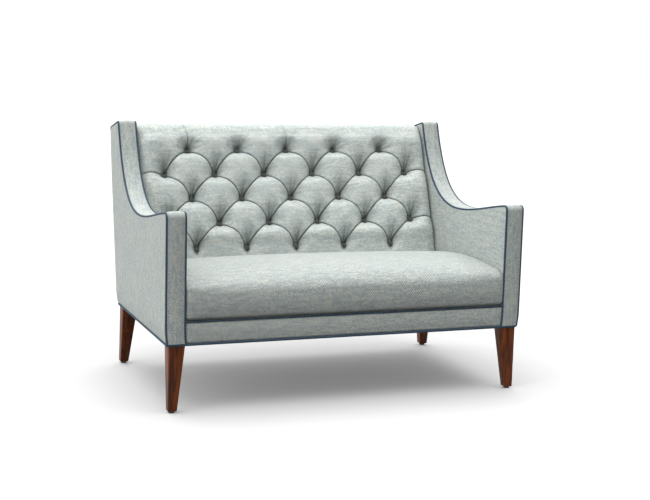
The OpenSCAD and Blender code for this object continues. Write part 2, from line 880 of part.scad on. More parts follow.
// One view of a leg: straight along the side at "near", drawn in on the other side towards the foot
function leg_view(near, away, foot_near) = [
    [near, base_h],
    [near + away * leg_top, base_h],
    [foot_near + away * leg_foot, glide_t + foot_edge],
    [foot_near + away * (leg_foot - foot_edge), glide_t],
    [foot_near + away * foot_edge, glide_t],
    [foot_near, glide_t + foot_edge]];
module leg(near_y, away_y, foot_y, spot) {
    color("saddlebrown")
    placed()
    difference() {
        intersection() {
            translate([0, settee_d, 0])
                rotate([90, 0, 0])
                    linear_extrude(2 * settee_d)
                        polygon(leg_view(leg_x, -1, leg_x));
            slab(0, outer_x)
                polygon(leg_view(near_y, away_y, foot_y));
        }
        translate([spot[0], spot[1], base_h - bolt_in_leg])
            cylinder(r = bolt_r + bolt_gap, h = 2 * bolt_in_leg, $fn = 32);
    }
}
module leg_front() leg(leg_front_inset, 1, leg_front_inset, front_bolt);
module leg_back() leg(leg_back_y, -1, leg_back_y + leg_rake, back_bolt);
module insert_hole(spot)
    translate([spot[0], spot[1], frame_low - over])
        cylinder(r = insert_r + bolt_gap, h = over + insert_h + bolt_gap, $fn = 32);
module leg_inserts() {
    color("gainsboro")
    placed()
    for (side = [-1, 1], spot = [front_bolt, back_bolt])
        translate([side * spot[0], spot[1], frame_low])
            difference() {
                cylinder(r = insert_r, h = insert_h, $fn = 32);
                translate([0, 0, -over])
                    cylinder(r = bolt_r + bolt_gap, h = insert_h + 2 * over, $fn = 32);
            }
}
module leg_bolts() {
    color("silver")
    placed()
    for (side = [-1, 1], spot = [front_bolt, back_bolt])
        translate([side * spot[0], spot[1], base_h - bolt_in_leg + seam])
            cylinder(r = bolt_r, h = bolt_in_leg + insert_h - seam, $fn = 32);
}
module glide(y) {
    color("black")
    placed()
    translate([leg_x - leg_foot / 2, y, 0])
        rotate_extrude($fn = 32)
            polygon([
                [0, 0],
                [glide_r - foot_edge, 0],
                [glide_r, foot_edge],
                [glide_r, glide_t],
                [0, glide_t]]);
}
module glide_front() glide(leg_front_inset + leg_foot / 2);
module glide_back() glide(leg_back_y + leg_rake - leg_foot / 2);

on_left() arm_post();  // arm_post_left
arm_post();  // arm_post_right
on_left() arm_rail();  // arm_rail_left
arm_rail();  // arm_rail_right
on_left() wing_board();  // wing_board_left
wing_board();  // wing_board_right
on_left() back_post();  // back_post_left
back_post();  // back_post_right
on_left() back_stile();  // back_stile_left
back_stile();  // back_stile_right
on_left() side_rail();  // side_rail_left
side_rail();  // side_rail_right
front_rail();
seat_back_rail();
rear_rail();
top_rail();
back_low_rail();
back_centre_stile();
seat_brace();
corner_blocks();
seat_webs_long();
seat_webs_cross();
back_webs_tall();
back_webs_wide();
seat_foam();
seat_pad();
back_foam();
back_pad();
buttons();
on_left() arm_inside();  // arm_inside_left
arm_inside();  // arm_inside_right
on_left() arm_outside();  // arm_outside_left
arm_outside();  // arm_outside_right
on_left() facing();  // facing_left
facing();  // facing_right
outside_back();
front_border();
dust_cover();
on_left() piping_outer();  // piping_outer_left
piping_outer();  // piping_outer_right
on_left() piping_inner();  // piping_inner_left
piping_inner();  // piping_inner_right
base_piping();
seat_piping();
on_left() leg_front();  // leg_front_left
leg_front();  // leg_front_right
on_left() leg_back();  // leg_back_left
leg_back();  // leg_back_right
leg_inserts();
leg_bolts();
on_left() glide_front();  // glide_front_left
glide_front();  // glide_front_right
on_left() glide_back();  // glide_back_left
glide_back();  // glide_back_right
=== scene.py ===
# %% [markdown]
# A high back settee: a slim upholstered shell on four walnut legs, a tight crowned seat and a deep
# buttoned back. The frame, the webbing and the foam come from the construction model and stay where
# they are. This script dresses them: every cover starts as a flat cloth that is laid on its form,
# as an upholsterer does, and the piping, buttons and legs are made one by one.

# %% Load the frame
import json
from math import atan, cos, pi, radians, sin, tan

import bpy
import numpy as np
from mathutils import Matrix, Vector

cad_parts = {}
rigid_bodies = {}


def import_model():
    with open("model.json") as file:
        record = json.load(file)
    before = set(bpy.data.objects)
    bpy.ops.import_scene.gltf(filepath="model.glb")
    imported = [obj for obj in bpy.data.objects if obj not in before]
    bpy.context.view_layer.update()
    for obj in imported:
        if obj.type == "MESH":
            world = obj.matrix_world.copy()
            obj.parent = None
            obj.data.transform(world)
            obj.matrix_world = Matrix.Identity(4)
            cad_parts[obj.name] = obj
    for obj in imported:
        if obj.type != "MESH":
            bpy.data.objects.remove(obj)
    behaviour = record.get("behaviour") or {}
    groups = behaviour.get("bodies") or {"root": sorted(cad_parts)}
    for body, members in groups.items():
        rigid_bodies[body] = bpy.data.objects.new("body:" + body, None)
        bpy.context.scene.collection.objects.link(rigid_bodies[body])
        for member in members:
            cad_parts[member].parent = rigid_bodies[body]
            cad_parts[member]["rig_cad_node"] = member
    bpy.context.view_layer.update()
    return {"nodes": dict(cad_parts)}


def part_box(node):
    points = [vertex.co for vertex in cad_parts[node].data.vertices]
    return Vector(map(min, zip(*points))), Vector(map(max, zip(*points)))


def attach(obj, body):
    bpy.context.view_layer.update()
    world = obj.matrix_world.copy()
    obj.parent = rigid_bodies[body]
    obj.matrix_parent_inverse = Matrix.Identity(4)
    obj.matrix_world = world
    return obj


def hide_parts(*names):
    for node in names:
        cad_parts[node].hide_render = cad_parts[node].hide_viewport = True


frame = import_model()
MM = 0.001
hands = ((-1, "left"), (1, "right"))
print("nodes:", len(frame["nodes"]))

# %% [markdown]
# The sizes that the covers share are read from the frame's own boxes where a box holds them. The
# hem, the lowest edge of the covers, hangs 4 mm below the construction model's, because it does so
# in the photograph. The side view is drawn with y measured back from the front of the arms, which
# is easier to think in than y from the middle, so front_y moves between the two. A point of the
# side view is (y, z).

# %% Driving sizes
hem_drop = 4 * MM
arm_pad = 4 * MM
outer_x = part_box("arm_outside_right")[1].x
inner_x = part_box("arm_inside_right")[0].x - arm_pad
half_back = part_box("seat_pad")[1].x
pad_x = half_back - arm_pad
front_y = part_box("facing_right")[0].y
cover_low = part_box("front_border")[0].z - hem_drop
arm_h = 667 * MM
dip = np.array([390, 612]) * MM
wing_tip = np.array([726, 915]) * MM
rear_tip = np.array([859, 884]) * MM
base_rear = np.array([742 * MM, cover_low])
bead_r = 3.6 * MM
bead_in = 3.1 * MM
print("outer, inner, hem:", round(outer_x, 4), round(inner_x, 4), round(cover_low, 4))

# %% [markdown]
# The side view is the line that gives this settee its looks: a level arm that dips and then sweeps
# up into the wing. It could be drawn point by point. Here it is three smooth curves joined by small
# round corners, because two handles, placed as shares of its span, then hold each curve, and it
# keeps its character at any size.

# %% Side outline
curve_points = 60
arm_corner_r = 18 * MM
wing_corner_r = 12 * MM


def smooth_curve(a, b, c, d):
    """A curve from a to d that sets out towards b and comes in from c."""
    t = np.linspace(0, 1, curve_points)[:, None]
    return (1 - t) ** 3 * a + 3 * t * (1 - t) ** 2 * b + 3 * t ** 2 * (1 - t) * c + t ** 3 * d


def rounded_corner(before, at, after, radius, count=9):
    one = (before - at) / np.linalg.norm(before - at)
    two = (after - at) / np.linalg.norm(after - at)
    half = np.arccos(one @ two) / 2
    middle = at + (one + two) / np.linalg.norm(one + two) * radius / sin(half)
    start, end = (at + way * radius / tan(half) - middle for way in (one, two))
    t = np.linspace(0, 1, count)[:, None]
    way = (1 - t) * start + t * end
    return middle + radius * way / np.linalg.norm(way, axis=1)[:, None]


def handle(low, high, share_y, share_z):
    return low + (high - low) * np.array([share_y, share_z])


arm_front = np.array([0, arm_h])
front_foot = np.array([0, cover_low])
arm_curve = smooth_curve(
    arm_front, handle(arm_front, dip, 0.31, 0.22), handle(arm_front, dip, 0.67, 1), dip)
wing_curve = smooth_curve(
    dip, handle(dip, wing_tip, 0.505, 0), handle(dip, wing_tip, 0.79, 0.29), wing_tip)
rear_curve = smooth_curve(
    rear_tip, handle(base_rear, rear_tip, 0.855, 0.72), handle(base_rear, rear_tip, 0.256, 0.29),
    base_rear)
# Each round corner takes the place of the few points of a curve beside it
side_outline = np.concatenate([
    [front_foot],
    rounded_corner(front_foot, arm_front, arm_curve[4], arm_corner_r),
    arm_curve[5:], wing_curve[1:-3],
    rounded_corner(wing_curve[-4], wing_tip, rear_tip, wing_corner_r),
    rounded_corner(wing_tip, rear_tip, rear_curve[3], wing_corner_r)])
rear_outline = np.concatenate([side_outline[-1:], rear_curve[4:]])
print("top of the arm and of the wing:", round(arm_h, 3), round(side_outline[:, 1].max(), 3))

# %% [markdown]
# Covers, facings and piping all follow that outline, so it is divided into even steps once, and
# small helpers give the way out of the body, a line set in from it, and any place along it.

# %% Lines to follow
line_step = 6 * MM
rear_step = 12 * MM


def length_of(line):
    return np.linalg.norm(np.diff(line, axis=0), axis=1).sum()


def evenly(line, pieces):
    """The same line as that many pieces of one length."""
    run = np.concatenate([[0], np.cumsum(np.linalg.norm(np.diff(line, axis=0), axis=1))])
    places = np.linspace(0, run[-1], pieces + 1)
    return np.stack([np.interp(places, run, line[:, i]) for i in (0, 1)], axis=1)


def outward(line):
    """The way out of the body, which lies on the right hand of the line's direction."""
    way = np.gradient(line, axis=0)
    way /= np.linalg.norm(way, axis=1)[:, None]
    return np.stack([-way[:, 1], way[:, 0]], axis=1)


def moved_in(line, distance):
    return line - distance * outward(line)


def at_share(line, t):
    """The values at shares t of the way through the points of a line."""
    count = np.arange(len(line))
    return np.stack([np.interp(t * (len(line) - 1), count, line[:, i]) for i in (0, 1)], axis=1)


def in_room(x, at):
    """Places in the room, from x and the points of the side view."""
    return np.stack([x, at[:, 0] + front_y, at[:, 1]], axis=1)


upper_line = evenly(side_outline, round(length_of(side_outline) / line_step))
rear_line = evenly(rear_outline, round(length_of(rear_outline) / rear_step))
print("outline of a side, and of the rear, in metres:",
      round(length_of(upper_line), 3), round(length_of(rear_line), 3))

# %% [markdown]
# Near the floor edge the covers are pulled tight round the frame and tacked under it, so the arms
# get a little slimmer there. One function says how much, and every piece that reaches the edge
# uses it, so they stay together.

# %% Pulled-in bottom edge
tuck_height = 57 * MM
tuck_outer = 5.5 * MM
tuck_inner = 3.5 * MM
tuck_curve = 1.6


def up_to(distance, reach):
    """Grows evenly from 0 to 1 over a reach."""
    return np.clip(distance / reach, 0, 1)


def ease(t):
    """Grows from 0 to 1 with a soft start and a soft end."""
    t = np.clip(t, 0, 1)
    return t * t * (3 - 2 * t)


def tucked(x, z):
    """x at height z, drawn towards the middle of the settee near the floor edge. The middle of the
    outside back isn't drawn in, only the part of it that belongs to the arms."""
    share = np.clip((np.abs(x) - inner_x) / (outer_x - inner_x), 0, 1)
    pull = (tuck_inner + (tuck_outer - tuck_inner) * share) * (np.abs(x) > inner_x * 0.95)
    low = cover_low - 2 * bead_r
    return x - np.sign(x) * pull * (1 - up_to(z - low, tuck_height)) ** tuck_curve


print("an arm's faces are drawn in at the hem by, in mm:", 1000 * tuck_outer, 1000 * tuck_inner)

# %% [markdown]
# A cover is fabric over wadding. A cloth simulation could blow it up, but the photograph shows the
# form that these tight covers end in, so a flat cloth is laid on that form directly. A cloth is a
# grid with its own map in metres, so a weave drawn on the map has the size of real yarn wherever
# the cloth goes. The form is a function from the flat cloth to a place in space. Solidify then
# gives it the thickness of fabric and wadding, which closes it into a shell.

# %% Cloth laid on a form
cover_t = 3 * MM
band_t = 4 * MM
fold_angle = radians(55)


def rest():
    if bpy.context.object and bpy.context.object.mode != "OBJECT":
        bpy.ops.object.mode_set(mode="OBJECT")
    bpy.ops.object.select_all(action="DESELECT")


def take_only(piece):
    rest()
    piece.select_set(True)
    bpy.context.view_layer.objects.active = piece


def edit_all(piece, *steps):
    """Runs steps in edit mode, with all of the piece selected."""
    take_only(piece)
    bpy.ops.object.mode_set(mode="EDIT")
    bpy.ops.mesh.select_all(action="SELECT")
    for step in steps:
        step()
    bpy.ops.object.mode_set(mode="OBJECT")


def belongs(piece, replaced):
    """Hides the node that a piece takes the place of, and puts the piece on the body."""
    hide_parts(replaced)
    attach(piece, "root")
    print(piece.name, "points:", len(piece.data.vertices))


def cloth(name, columns, rows, form, thickness, replaced, while_flat=None):
    """Lays a flat cloth on a form. form(s, t) gives the places of its points, their map, and how much
    painted shade each gets in a fold or seam, from 0 to 1, which the fabric's finish paints darker."""
    rest()
    bpy.ops.mesh.primitive_grid_add(x_subdivisions=columns, y_subdivisions=rows, size=1)
    piece = bpy.context.object
    piece.name = piece.data.name = name
    if while_flat:
        while_flat(piece)
    flat = np.zeros(len(piece.data.vertices) * 3, np.float32)
    piece.data.vertices.foreach_get("co", flat)
    s, t = flat.reshape(-1, 3)[:, 0] + 0.5, flat.reshape(-1, 3)[:, 1] + 0.5
    places, chart, shade = form(s.astype(float), t.astype(float))
    piece.data.vertices.foreach_set("co", places.astype(np.float32).ravel())
    corners = np.zeros(len(piece.data.loops), np.int32)
    piece.data.loops.foreach_get("vertex_index", corners)
    layer = piece.data.uv_layers[0]
    layer.name = "Cloth"
    layer.data.foreach_set("uv", chart[corners].astype(np.float32).ravel())
    depth = piece.data.attributes.new("painted_fold_shade", "FLOAT", "POINT")
    depth.data.foreach_set("value", shade.astype(np.float32))
    piece.data.update()
    take_only(piece)
    thicken = piece.modifiers.new("Thickness", "SOLIDIFY")
    thicken.thickness = thickness
    thicken.offset = -1
    bpy.ops.object.modifier_apply(modifier=thicken.name)
    bpy.ops.object.shade_smooth_by_angle(angle=fold_angle)
    belongs(piece, replaced)
    return piece


def turn_over(piece):
    """Turns the flat cloth's faces round, for a form that would leave them facing the frame."""
    edit_all(piece, bpy.ops.mesh.flip_normals)


# %% [markdown]
# Fabric that meets piping turns down into the seam over a few millimetres. A bevel would round
# every edge alike. The distance of each point to the edge of its panel gives the soft turn, the
# slight crown of the wadding and the painted shade in the seam at once.

# %% Rounded edges of a panel
edge_turn = 6 * MM
edge_drop = 2.5 * MM
seam_dark = 0.5
seam_reach = 1.6 * MM


def distance_to(points, line):
    """Distance in the plane of every point to the nearest stretch of a line."""
    nearest = np.full(len(points), np.inf)
    for start, end in zip(line[:-1], line[1:]):
        way = end - start
        share = np.clip((points - start) @ way / max(way @ way, 1e-12), 0, 1)
        nearest = np.minimum(nearest, np.linalg.norm(points - start - share[:, None] * way, axis=1))
    return nearest


# Painted shade in the seam, strongest at the panel's edge
def seam_shade(distance):
    return seam_dark * np.exp(-distance / seam_reach)


def panel_rise(distance, crown, reach):
    near = 1 - up_to(distance, edge_turn)
    return crown * ease(distance / reach) - edge_drop * (1 - np.sqrt(np.clip(1 - near ** 2, 0, 1)))


def crowded(t, amount):
    """Shares from 0 to 1, closer together at both ends, where the fabric turns into its seams."""
    return t - amount * np.sin(2 * pi * t)


print("fabric turns down into a seam over, in mm:", round(1000 * edge_turn, 1))

# %% [markdown]
# The outside and inside of each arm are flat panels with the swept outline. A filled outline would
# have no even grid for the crown and the weave. So every column of the cloth runs from the bottom
# line to the top line at its own y, and the columns are close together where the outline is steep.

# %% Arm panels
panel_rows = 56
column_gap = 0.4 * MM
crown_reach = 90 * MM
seam_in = 4.5 * MM


def monotone(line):
    """The points of a line that go on backwards, so that each y has one height. It starts at the last
    of the points that share the first y, which on an arm front is the top of the upright edge."""
    keep = [0]
    for i in range(1, len(line)):
        if line[i, 0] > line[keep[-1], 0] + 0.02 * MM:
            keep.append(i)
    keep[0] = keep[1] - 1
    return line[keep]


def side_panel(name, side, x, facing_out, bottom, top, crown, replaced):
    """A panel of an arm, between two lines that each have one height at every y."""
    stations = np.unique(np.concatenate([top[:, 0], bottom[:, 0]]).clip(top[0, 0], top[-1, 0]))
    stations = stations[np.concatenate([[True], np.diff(stations) > column_gap])]
    edge = np.concatenate([bottom, top[::-1], bottom[:1]])
    way = 1 if facing_out else -1

    def form(s, t):
        y = np.interp(s, np.linspace(0, 1, len(stations)), stations)
        start = np.interp(y, bottom[:, 0], bottom[:, 1])
        end = np.interp(y, top[:, 0], top[:, 1])
        z = start + crowded(t, 0.09) * np.maximum(end - start, 0.2 * MM)
        from_edge = distance_to(np.stack([y, z], 1), edge)
        across = side * (x + way * panel_rise(from_edge, crown, crown_reach))
        if facing_out:
            across = tucked(across, z)
        at = np.stack([y, z], 1)
        return in_room(across, at), at, seam_shade(from_edge)

    cloth(name, len(stations) - 1, panel_rows, form, cover_t, replaced,
          while_flat=turn_over if side * way < 0 else None)


outer_top = monotone(moved_in(upper_line, seam_in))
outer_bottom = monotone(np.concatenate([[[outer_top[0, 0], cover_low]], rear_line[::-1]]))
for side, hand in hands:
    side_panel(f"outside_arm_cover_{hand}", side, outer_x, True, outer_bottom, outer_top,
               1.2 * MM, f"arm_outside_{hand}")

# %% [markdown]
# The inside panel starts below the seat and ends behind the buttoned back, along a slanting line.
# The lean of the back is needed for that line, so it is set here: a place on the buttoned back is
# given by how far it stands out of the plane of the buttons, and by its height.

# %% Inside arm panels
back_lean = radians(22.8)
top_button = np.array([722, 801]) * MM
lean_way = np.array([sin(back_lean), cos(back_lean)])
face_way = np.array([-cos(back_lean), sin(back_lean)])
inner_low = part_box("arm_inside_right")[0].z
panel_end_y = 845 * MM
slant_high = 875 * MM
behind = 30 * MM


def plane_y(w, z):
    """y of a place that stands w out of the plane of the buttons, at height z."""
    return top_button[0] + (z - top_button[1]) * tan(back_lean) - w / cos(back_lean)


inner_top = moved_in(upper_line, seam_in)
inner_top = monotone(inner_top[inner_top[:, 0] < panel_end_y])
slant_z = np.linspace(inner_low, slant_high, 40)
slant = np.stack([plane_y(-behind, slant_z), slant_z], 1)
inner_bottom = monotone(np.concatenate([[[inner_top[0, 0], inner_low]], slant]))
inner_top = inner_top[inner_top[:, 0] < slant[-1, 0]]
for side, hand in hands:
    side_panel(f"inside_arm_cover_{hand}", side, inner_x, False, inner_bottom, inner_top,
               2 * MM, f"arm_inside_{hand}")

# %% [markdown]
# The facing is the band along the front of the arm, over its top and up the wing. It could be the
# outline pushed across the arm, but that would be a hard flat ribbon. As a cloth of its own it
# crowns between its two lines of piping, as the padded band does.

# %% Facings
facing_gap = 4.5 * MM
facing_crown = 2.6 * MM
facing_columns = 14
facing_width = outer_x - inner_x - 2 * facing_gap


def facing_form(side):
    def form(s, t):
        u = crowded(s, 0.07)
        from_edge = np.minimum(u, 1 - u) * facing_width
        rise = panel_rise(from_edge, facing_crown, facing_width / 2)
        at = at_share(upper_line, t) + at_share(outward(upper_line), t) * rise[:, None]
        x = tucked(side * (inner_x + facing_gap + u * facing_width), at[:, 1])
        run = t * len(upper_line) * line_step
        return in_room(x, at), np.stack([u * facing_width, run], 1), seam_shade(from_edge)

    return form


for side, hand in hands:
    cloth(f"arm_facing_{hand}", facing_columns, len(upper_line) - 1, facing_form(side), band_t,
          f"facing_{hand}", while_flat=turn_over if side < 0 else None)

# %% [markdown]
# The outside back is one tight panel that follows the rake of the back posts. It isn't in the
# photograph, and is made as on any settee of this kind: plain, from the top edge to the hem. It
# starts a little above the rear line, so that it meets the tail of the buttoned back.

# %% Outside back
outside_half = outer_x - 3 * MM
outside_columns = 120
above_tip = np.array([[0.2, 3.5]]) * MM
back_line = np.concatenate([rear_line[:1] + above_tip, rear_line])
back_length = len(back_line) * rear_step


def outside_back_form(s, t):
    x = 2 * (crowded(s, 0.02) - 0.5) * outside_half
    run = t * back_length
    from_edge = np.minimum(outside_half - np.abs(x), np.minimum(run, back_length - run) + 2 * MM)
    rise = panel_rise(from_edge, 2 * MM, 160 * MM)
    at = at_share(back_line, t) + at_share(outward(back_line), t) * rise[:, None]
    return in_room(tucked(x, at[:, 1]), at), np.stack([x, -run], 1), seam_shade(from_edge)


cloth("outside_back_cover", outside_columns, len(back_line) - 1, outside_back_form, cover_t,
      "outside_back")

# %% [markdown]
# Below the seat runs a narrow border, padded just enough to roll into the piping above and below.
# Its ends are drawn in a little at the hem, as the arms beside it are.

# %% Front border
border_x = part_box("front_border")[1].x
border_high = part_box("front_border")[1].z - hem_drop
border_set_back = 1.5 * MM
border_draw = 0.0085


def border_form(s, t):
    x = (2 * s - 1) * (border_x - 0.5 * MM)
    t = crowded(t, 0.08)
    z = cover_low + t * (border_high - cover_low)
    from_edge = np.minimum(np.minimum(z - cover_low, border_high - z), border_x - np.abs(x))
    y = border_set_back - panel_rise(from_edge, 2.2 * MM, 30 * MM)
    places = in_room(x * (1 - border_draw * (1 - t) ** tuck_curve), np.stack([y, z], 1))
    return places, np.stack([x, z], 1), seam_shade(from_edge)


cloth("front_border_cover", 160, 14, border_form, band_t, "front_border")

# %% [markdown]
# Under the frame a black dust cloth is stretched from rail to rail and tacked. Nothing fills it, so
# it is a sheet and not a pad, and it hangs down a little in the middle.

# %% Dust cloth
dust_low, dust_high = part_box("dust_cover")
dust_cut = (dust_high.x - dust_low.x, dust_high.y - dust_low.y)
dust_sag = 2.5 * MM
dust_t = 0.6 * MM


def dust_form(s, t):
    x, y = dust_low.x + s * dust_cut[0], dust_low.y + t * dust_cut[1]
    z = dust_low.z - dust_sag * np.sin(pi * s) * np.sin(pi * t)
    return np.stack([x, y, z], 1), np.stack([x, y], 1), 0 * s


dust_cloth = cloth("dust_cloth", 60, 36, dust_form, dust_t, "dust_cover",
                   while_flat=turn_over)
print("dust cloth, cut size in metres:", round(dust_cut[0], 3), round(dust_cut[1], 3))

# %% [markdown]
# The seat is fixed: fabric runs from the seam, over the rounded front edge and back to the buttoned
# back, where it dives out of sight. It could be a blown-up box, but the real one is pulled over
# shaped foam, so its side view is drawn. There are two, with a tight front roll for beside the arms
# and a wide one for the middle, and the cloth goes smoothly from one to the other.

# %% Side view of the seat
seat_h = 448 * MM
seat_peak = 250 * MM
seat_fall = 74.8 * MM
seat_swell = 4 * MM
seat_roll_side = np.array([70, 30]) * MM
seat_roll_middle = np.array([125, 60]) * MM
seat_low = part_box("seat_pad")[0].z - hem_drop
seat_rear_y = 568 * MM
seat_rear_w = 21 * MM
seat_dive = 60 * MM
seat_cells = 150


def seat_side_z(y):
    """Height of the seat beside the arms. It is highest a hand's breadth behind the front edge."""
    return seat_h - seat_fall * ((y - seat_peak) / (1.9 * seat_peak)) ** 2


def seat_line(roll):
    """The seat from its seam, over a front roll of a given reach and drop, to where it dives."""
    reach, drop = roll
    edge_z = seat_side_z(reach) - drop
    turn = np.linspace(pi, radians(93), 24)
    rise = np.linspace(0, 1, 14)
    top_y = np.linspace(reach + 9 * MM, seat_rear_y, 50)
    # Out of the seam, up the front, over the roll, and back along the top
    line = np.concatenate([
        [[9 * MM, seat_low], [3 * MM, seat_low + 1.5 * MM], [-1 * MM, seat_low + 5 * MM]],
        np.stack([-seat_swell - 2.5 * MM * np.sin(pi * rise),
                  seat_low + 9 * MM + rise * (edge_z - seat_low - 9 * MM)], 1),
        np.stack([-seat_swell + reach + reach * np.cos(turn), edge_z + drop * np.sin(turn)], 1)[1:],
        np.stack([top_y, seat_side_z(top_y)], 1)])
    # Then down behind the buttoned back, from about the height where the two meet
    rear_top = seat_side_z(plane_y(seat_rear_w, 410 * MM))
    dive_z = np.linspace(rear_top - 6 * MM, rear_top - seat_dive, 10)
    line = np.concatenate([
        line[line[:, 0] < plane_y(seat_rear_w + 6 * MM, rear_top)],
        np.stack([plane_y(seat_rear_w, dive_z), dive_z], 1)])
    return evenly(line, seat_cells)


side_line = seat_line(seat_roll_side)
middle_line = seat_line(seat_roll_middle)
seat_run = length_of(side_line)
print("seat, from seam to tail beside the arms, in metres:", round(seat_run, 3))

# %% [markdown]
# Across the settee the seat is highest along the middle, and it is drawn down a little where it
# meets the arms. Its front swells more between the arms than beside them, and has faint upright
# waves where the cloth is gathered into the seam.

# %% Seat
seat_crown = 14 * MM
seat_draw = 7 * MM
seat_draw_reach = 20 * MM
seat_belly = 3 * MM
seat_wave = 0.8 * MM
belly_z = seat_side_z(100 * MM) - seat_roll_side[1]


def seat_form(s, t):
    u = 2 * crowded(s, 0.03) - 1
    x = u * (pad_x - 0.5 * MM)
    row = np.round(t * seat_cells).astype(int)
    share = (1 - u ** 4)[:, None]
    at = side_line[row] + share * (middle_line - side_line)[row]
    ways = [np.gradient(line, axis=0) for line in (side_line, middle_line)]
    way = ways[0][row] + share * (ways[1] - ways[0])[row]
    way /= np.linalg.norm(way, axis=1)[:, None]
    normal = np.stack([-way[:, 1], way[:, 0]], 1)
    height = ease((at[:, 1] - seat_low) / (0.8 * (seat_h - seat_low)))
    crown = seat_crown * (1 - u ** 2) * height * (1 - 0.3 * up_to(at[:, 0], 570 * MM))
    from_side = up_to(pad_x - np.abs(x), seat_draw_reach)
    draw = seat_draw * (1 - np.sqrt(1 - (1 - from_side) ** 2))
    belly = seat_belly * (1 - u ** 4) * np.sin(pi * up_to(at[:, 1] - seat_low, belly_z - seat_low))
    wave = seat_wave * np.sin(x / (43 * MM) + 3 * np.sin(x / (110 * MM))) * np.clip(-normal[:, 0], 0, 1)
    at = at + normal * (belly - draw + wave * (1 - u ** 8))[:, None]
    at[:, 1] += crown
    # Painted shade in the seams at the sides and the front of the seat
    painted_shade = seam_shade(np.minimum(pad_x - np.abs(x), t * seat_run))
    return in_room(x, at), np.stack([x, t * seat_run], 1), painted_shade


cloth("seat_cover", 190, seat_cells, seat_form, cover_t, "seat_pad")

# %% [markdown]
# The buttoned back is made over foam with a hole at each button. The fabric is cut larger than the
# back, pulled into the holes, and what is left over is folded into pleats between the buttons. A
# cloth simulation takes long to find so many folds, so they are worked out from the lattice of the
# buttons. On it, one step across is half a spacing and one step up is one row, and every pleat runs
# where half the sum or half the difference of the two is a whole number.

# %% Lattice of the buttons
spacings = 6
half_step = half_back / spacings
row_step = 94.4 * MM
rows_of_buttons = 5
buttons_at = [(a, -row) for row in range(rows_of_buttons)
              for a in range(-(4 + row % 2), 6, 2) if abs(a) <= 4 + row % 2]
button_u = np.array([a * half_step for a, b in buttons_at])
button_v = np.array([b * row_step for a, b in buttons_at])
print("buttons:", len(buttons_at))

# %% [markdown]
# A place on the back is given by its diamond: two shares, from nothing at the button below to one at
# the far sides. The padding is fullest in the upper half of each diamond, where the fabric turns
# steeply into the pleat above, and it falls gently towards the button below. That is what makes the
# bright rim under every pleat and the dark pocket over every button, which painted shade makes
# darker still. The outermost cloth has level pleats to the arms, the lowest has upright ones to the
# seat, and above the top row there are none.

# %% Fullness of the diamonds
def left_over(value):
    return value - np.floor(value)


def skewed(share):
    """Rises from 0 to 1 at three fifths of the way and falls back to 0, steepest at the far end."""
    share = np.clip(share, 0, 1)
    return 2.64 * share ** 0.9 * (1 - share) ** 0.6


def fullness(a, b):
    """How full the padding is: nothing on a pleat, one where a diamond is fullest."""
    inside = skewed(left_over((a + b) / 2)) * skewed(left_over((b - a) / 2))
    beside = skewed(left_over((b + 1) / 2)) ** 2
    along = left_over(np.clip(a, -5, 5) / 2)
    between = skewed(along) * skewed(1 - along)
    full = np.where(np.abs(a) > 5, beside, inside)
    full = np.where(b > 0, 1 - (1 - between) * np.clip(1 - b / 0.75, 0, 1) ** 1.5, full)
    return np.where(b < -4, between, full)


def pleat_distance(a, b):
    """Distance to the nearest pleat, in metres."""
    across = 2 / np.hypot(1 / half_step, 1 / row_step)
    rising, falling = (a + b) / 2, (a - b) / 2
    from_rising = np.abs(rising - np.round(rising))
    from_falling = np.abs(falling - np.round(falling))
    slanting = across * np.minimum(from_rising, from_falling)
    level = row_step * np.abs((b + 1) / 2 - np.round((b + 1) / 2)) * 2
    upright = half_step * np.abs(a / 2 - np.round(a / 2)) * 2
    distance = np.where(np.abs(a) > 5, level, slanting)
    return np.where(b > 0, 1.0, np.where(b < -4, upright, distance))


print("a diamond is wide and high, in mm:", round(2000 * half_step), round(2000 * row_step))

# %% [markdown]
# The fabric hangs over each pleat, so the pleats aren't straight: they bow up and outwards, and
# between two buttons each looks like a quarter of an ellipse.

# %% Bow of the pleats
bow_low = 12.2 * MM
bow_top = 15.5 * MM
left_bow = 0.84


def arch(share):
    return 4 * share * (1 - share)


def bowed(a, b):
    """How far a place moves across and up, in metres."""
    one, two = arch(left_over((b - a) / 2)), left_bow * arch(left_over((a + b) / 2))
    beside = 2 * arch(left_over((b + 1) / 2)) + 0.6 * np.sin(pi * np.clip(np.abs(a) - 5, 0, 1))
    between = 2 * arch(left_over(np.clip(a, -5, 5) / 2))
    across = np.where((np.abs(a) > 5) | (b > 0) | (b < -4), 0, one - two)
    up = np.where(np.abs(a) > 5, beside, one + two)
    up = np.where(b > 0, between * np.clip(1 - b / 0.6, 0, 1), up)
    up = np.where(b < -4, between, up) * ease((b + 4.9) / 0.9)
    bow = (bow_low + (bow_top - bow_low) * ease((b + 1.5) / 0.9)) / 2 ** 0.5
    return across * bow, up * bow


print("pleats bow by, in mm:", round(1000 * bow_low, 1), "to", round(1000 * bow_top, 1))

# %% [markdown]
# Each button pulls the fabric into a hole. Puckers run out of the hole all round it, longest
# straight above the button, where the overhanging cloth also makes a hollow pocket, which painted
# shade makes darker. Two thin tucks run from the first and third button to the top edge, as in the
# photograph.

# %% Holes and tucks
button_hole = 9 * MM
# A small lean to the right of what counts as above a hole, for the puckers and for the painted pocket shade
pocket_lean = radians(14)


def round_the_holes(u, v):
    """How far a place is clear of the nearest hole, how much it lies straight above that hole, and
    the wave of the puckers there."""
    away = np.hypot(u[:, None] - button_u, v[:, None] - button_v)
    near = away.argmin(1)
    distance = away.min(1)
    way_u, way_v = u - button_u[near], v - button_v[near]
    upwards = way_v * cos(pocket_lean) + way_u * sin(pocket_lean)
    above = np.clip(upwards / np.maximum(distance, 1 * MM), 0, 1) ** 3
    pucker = np.sin(np.arctan2(way_v, way_u) * (11 + near % 3) + near * 1.7)
    return np.clip(distance - button_hole, 0, None), above, pucker


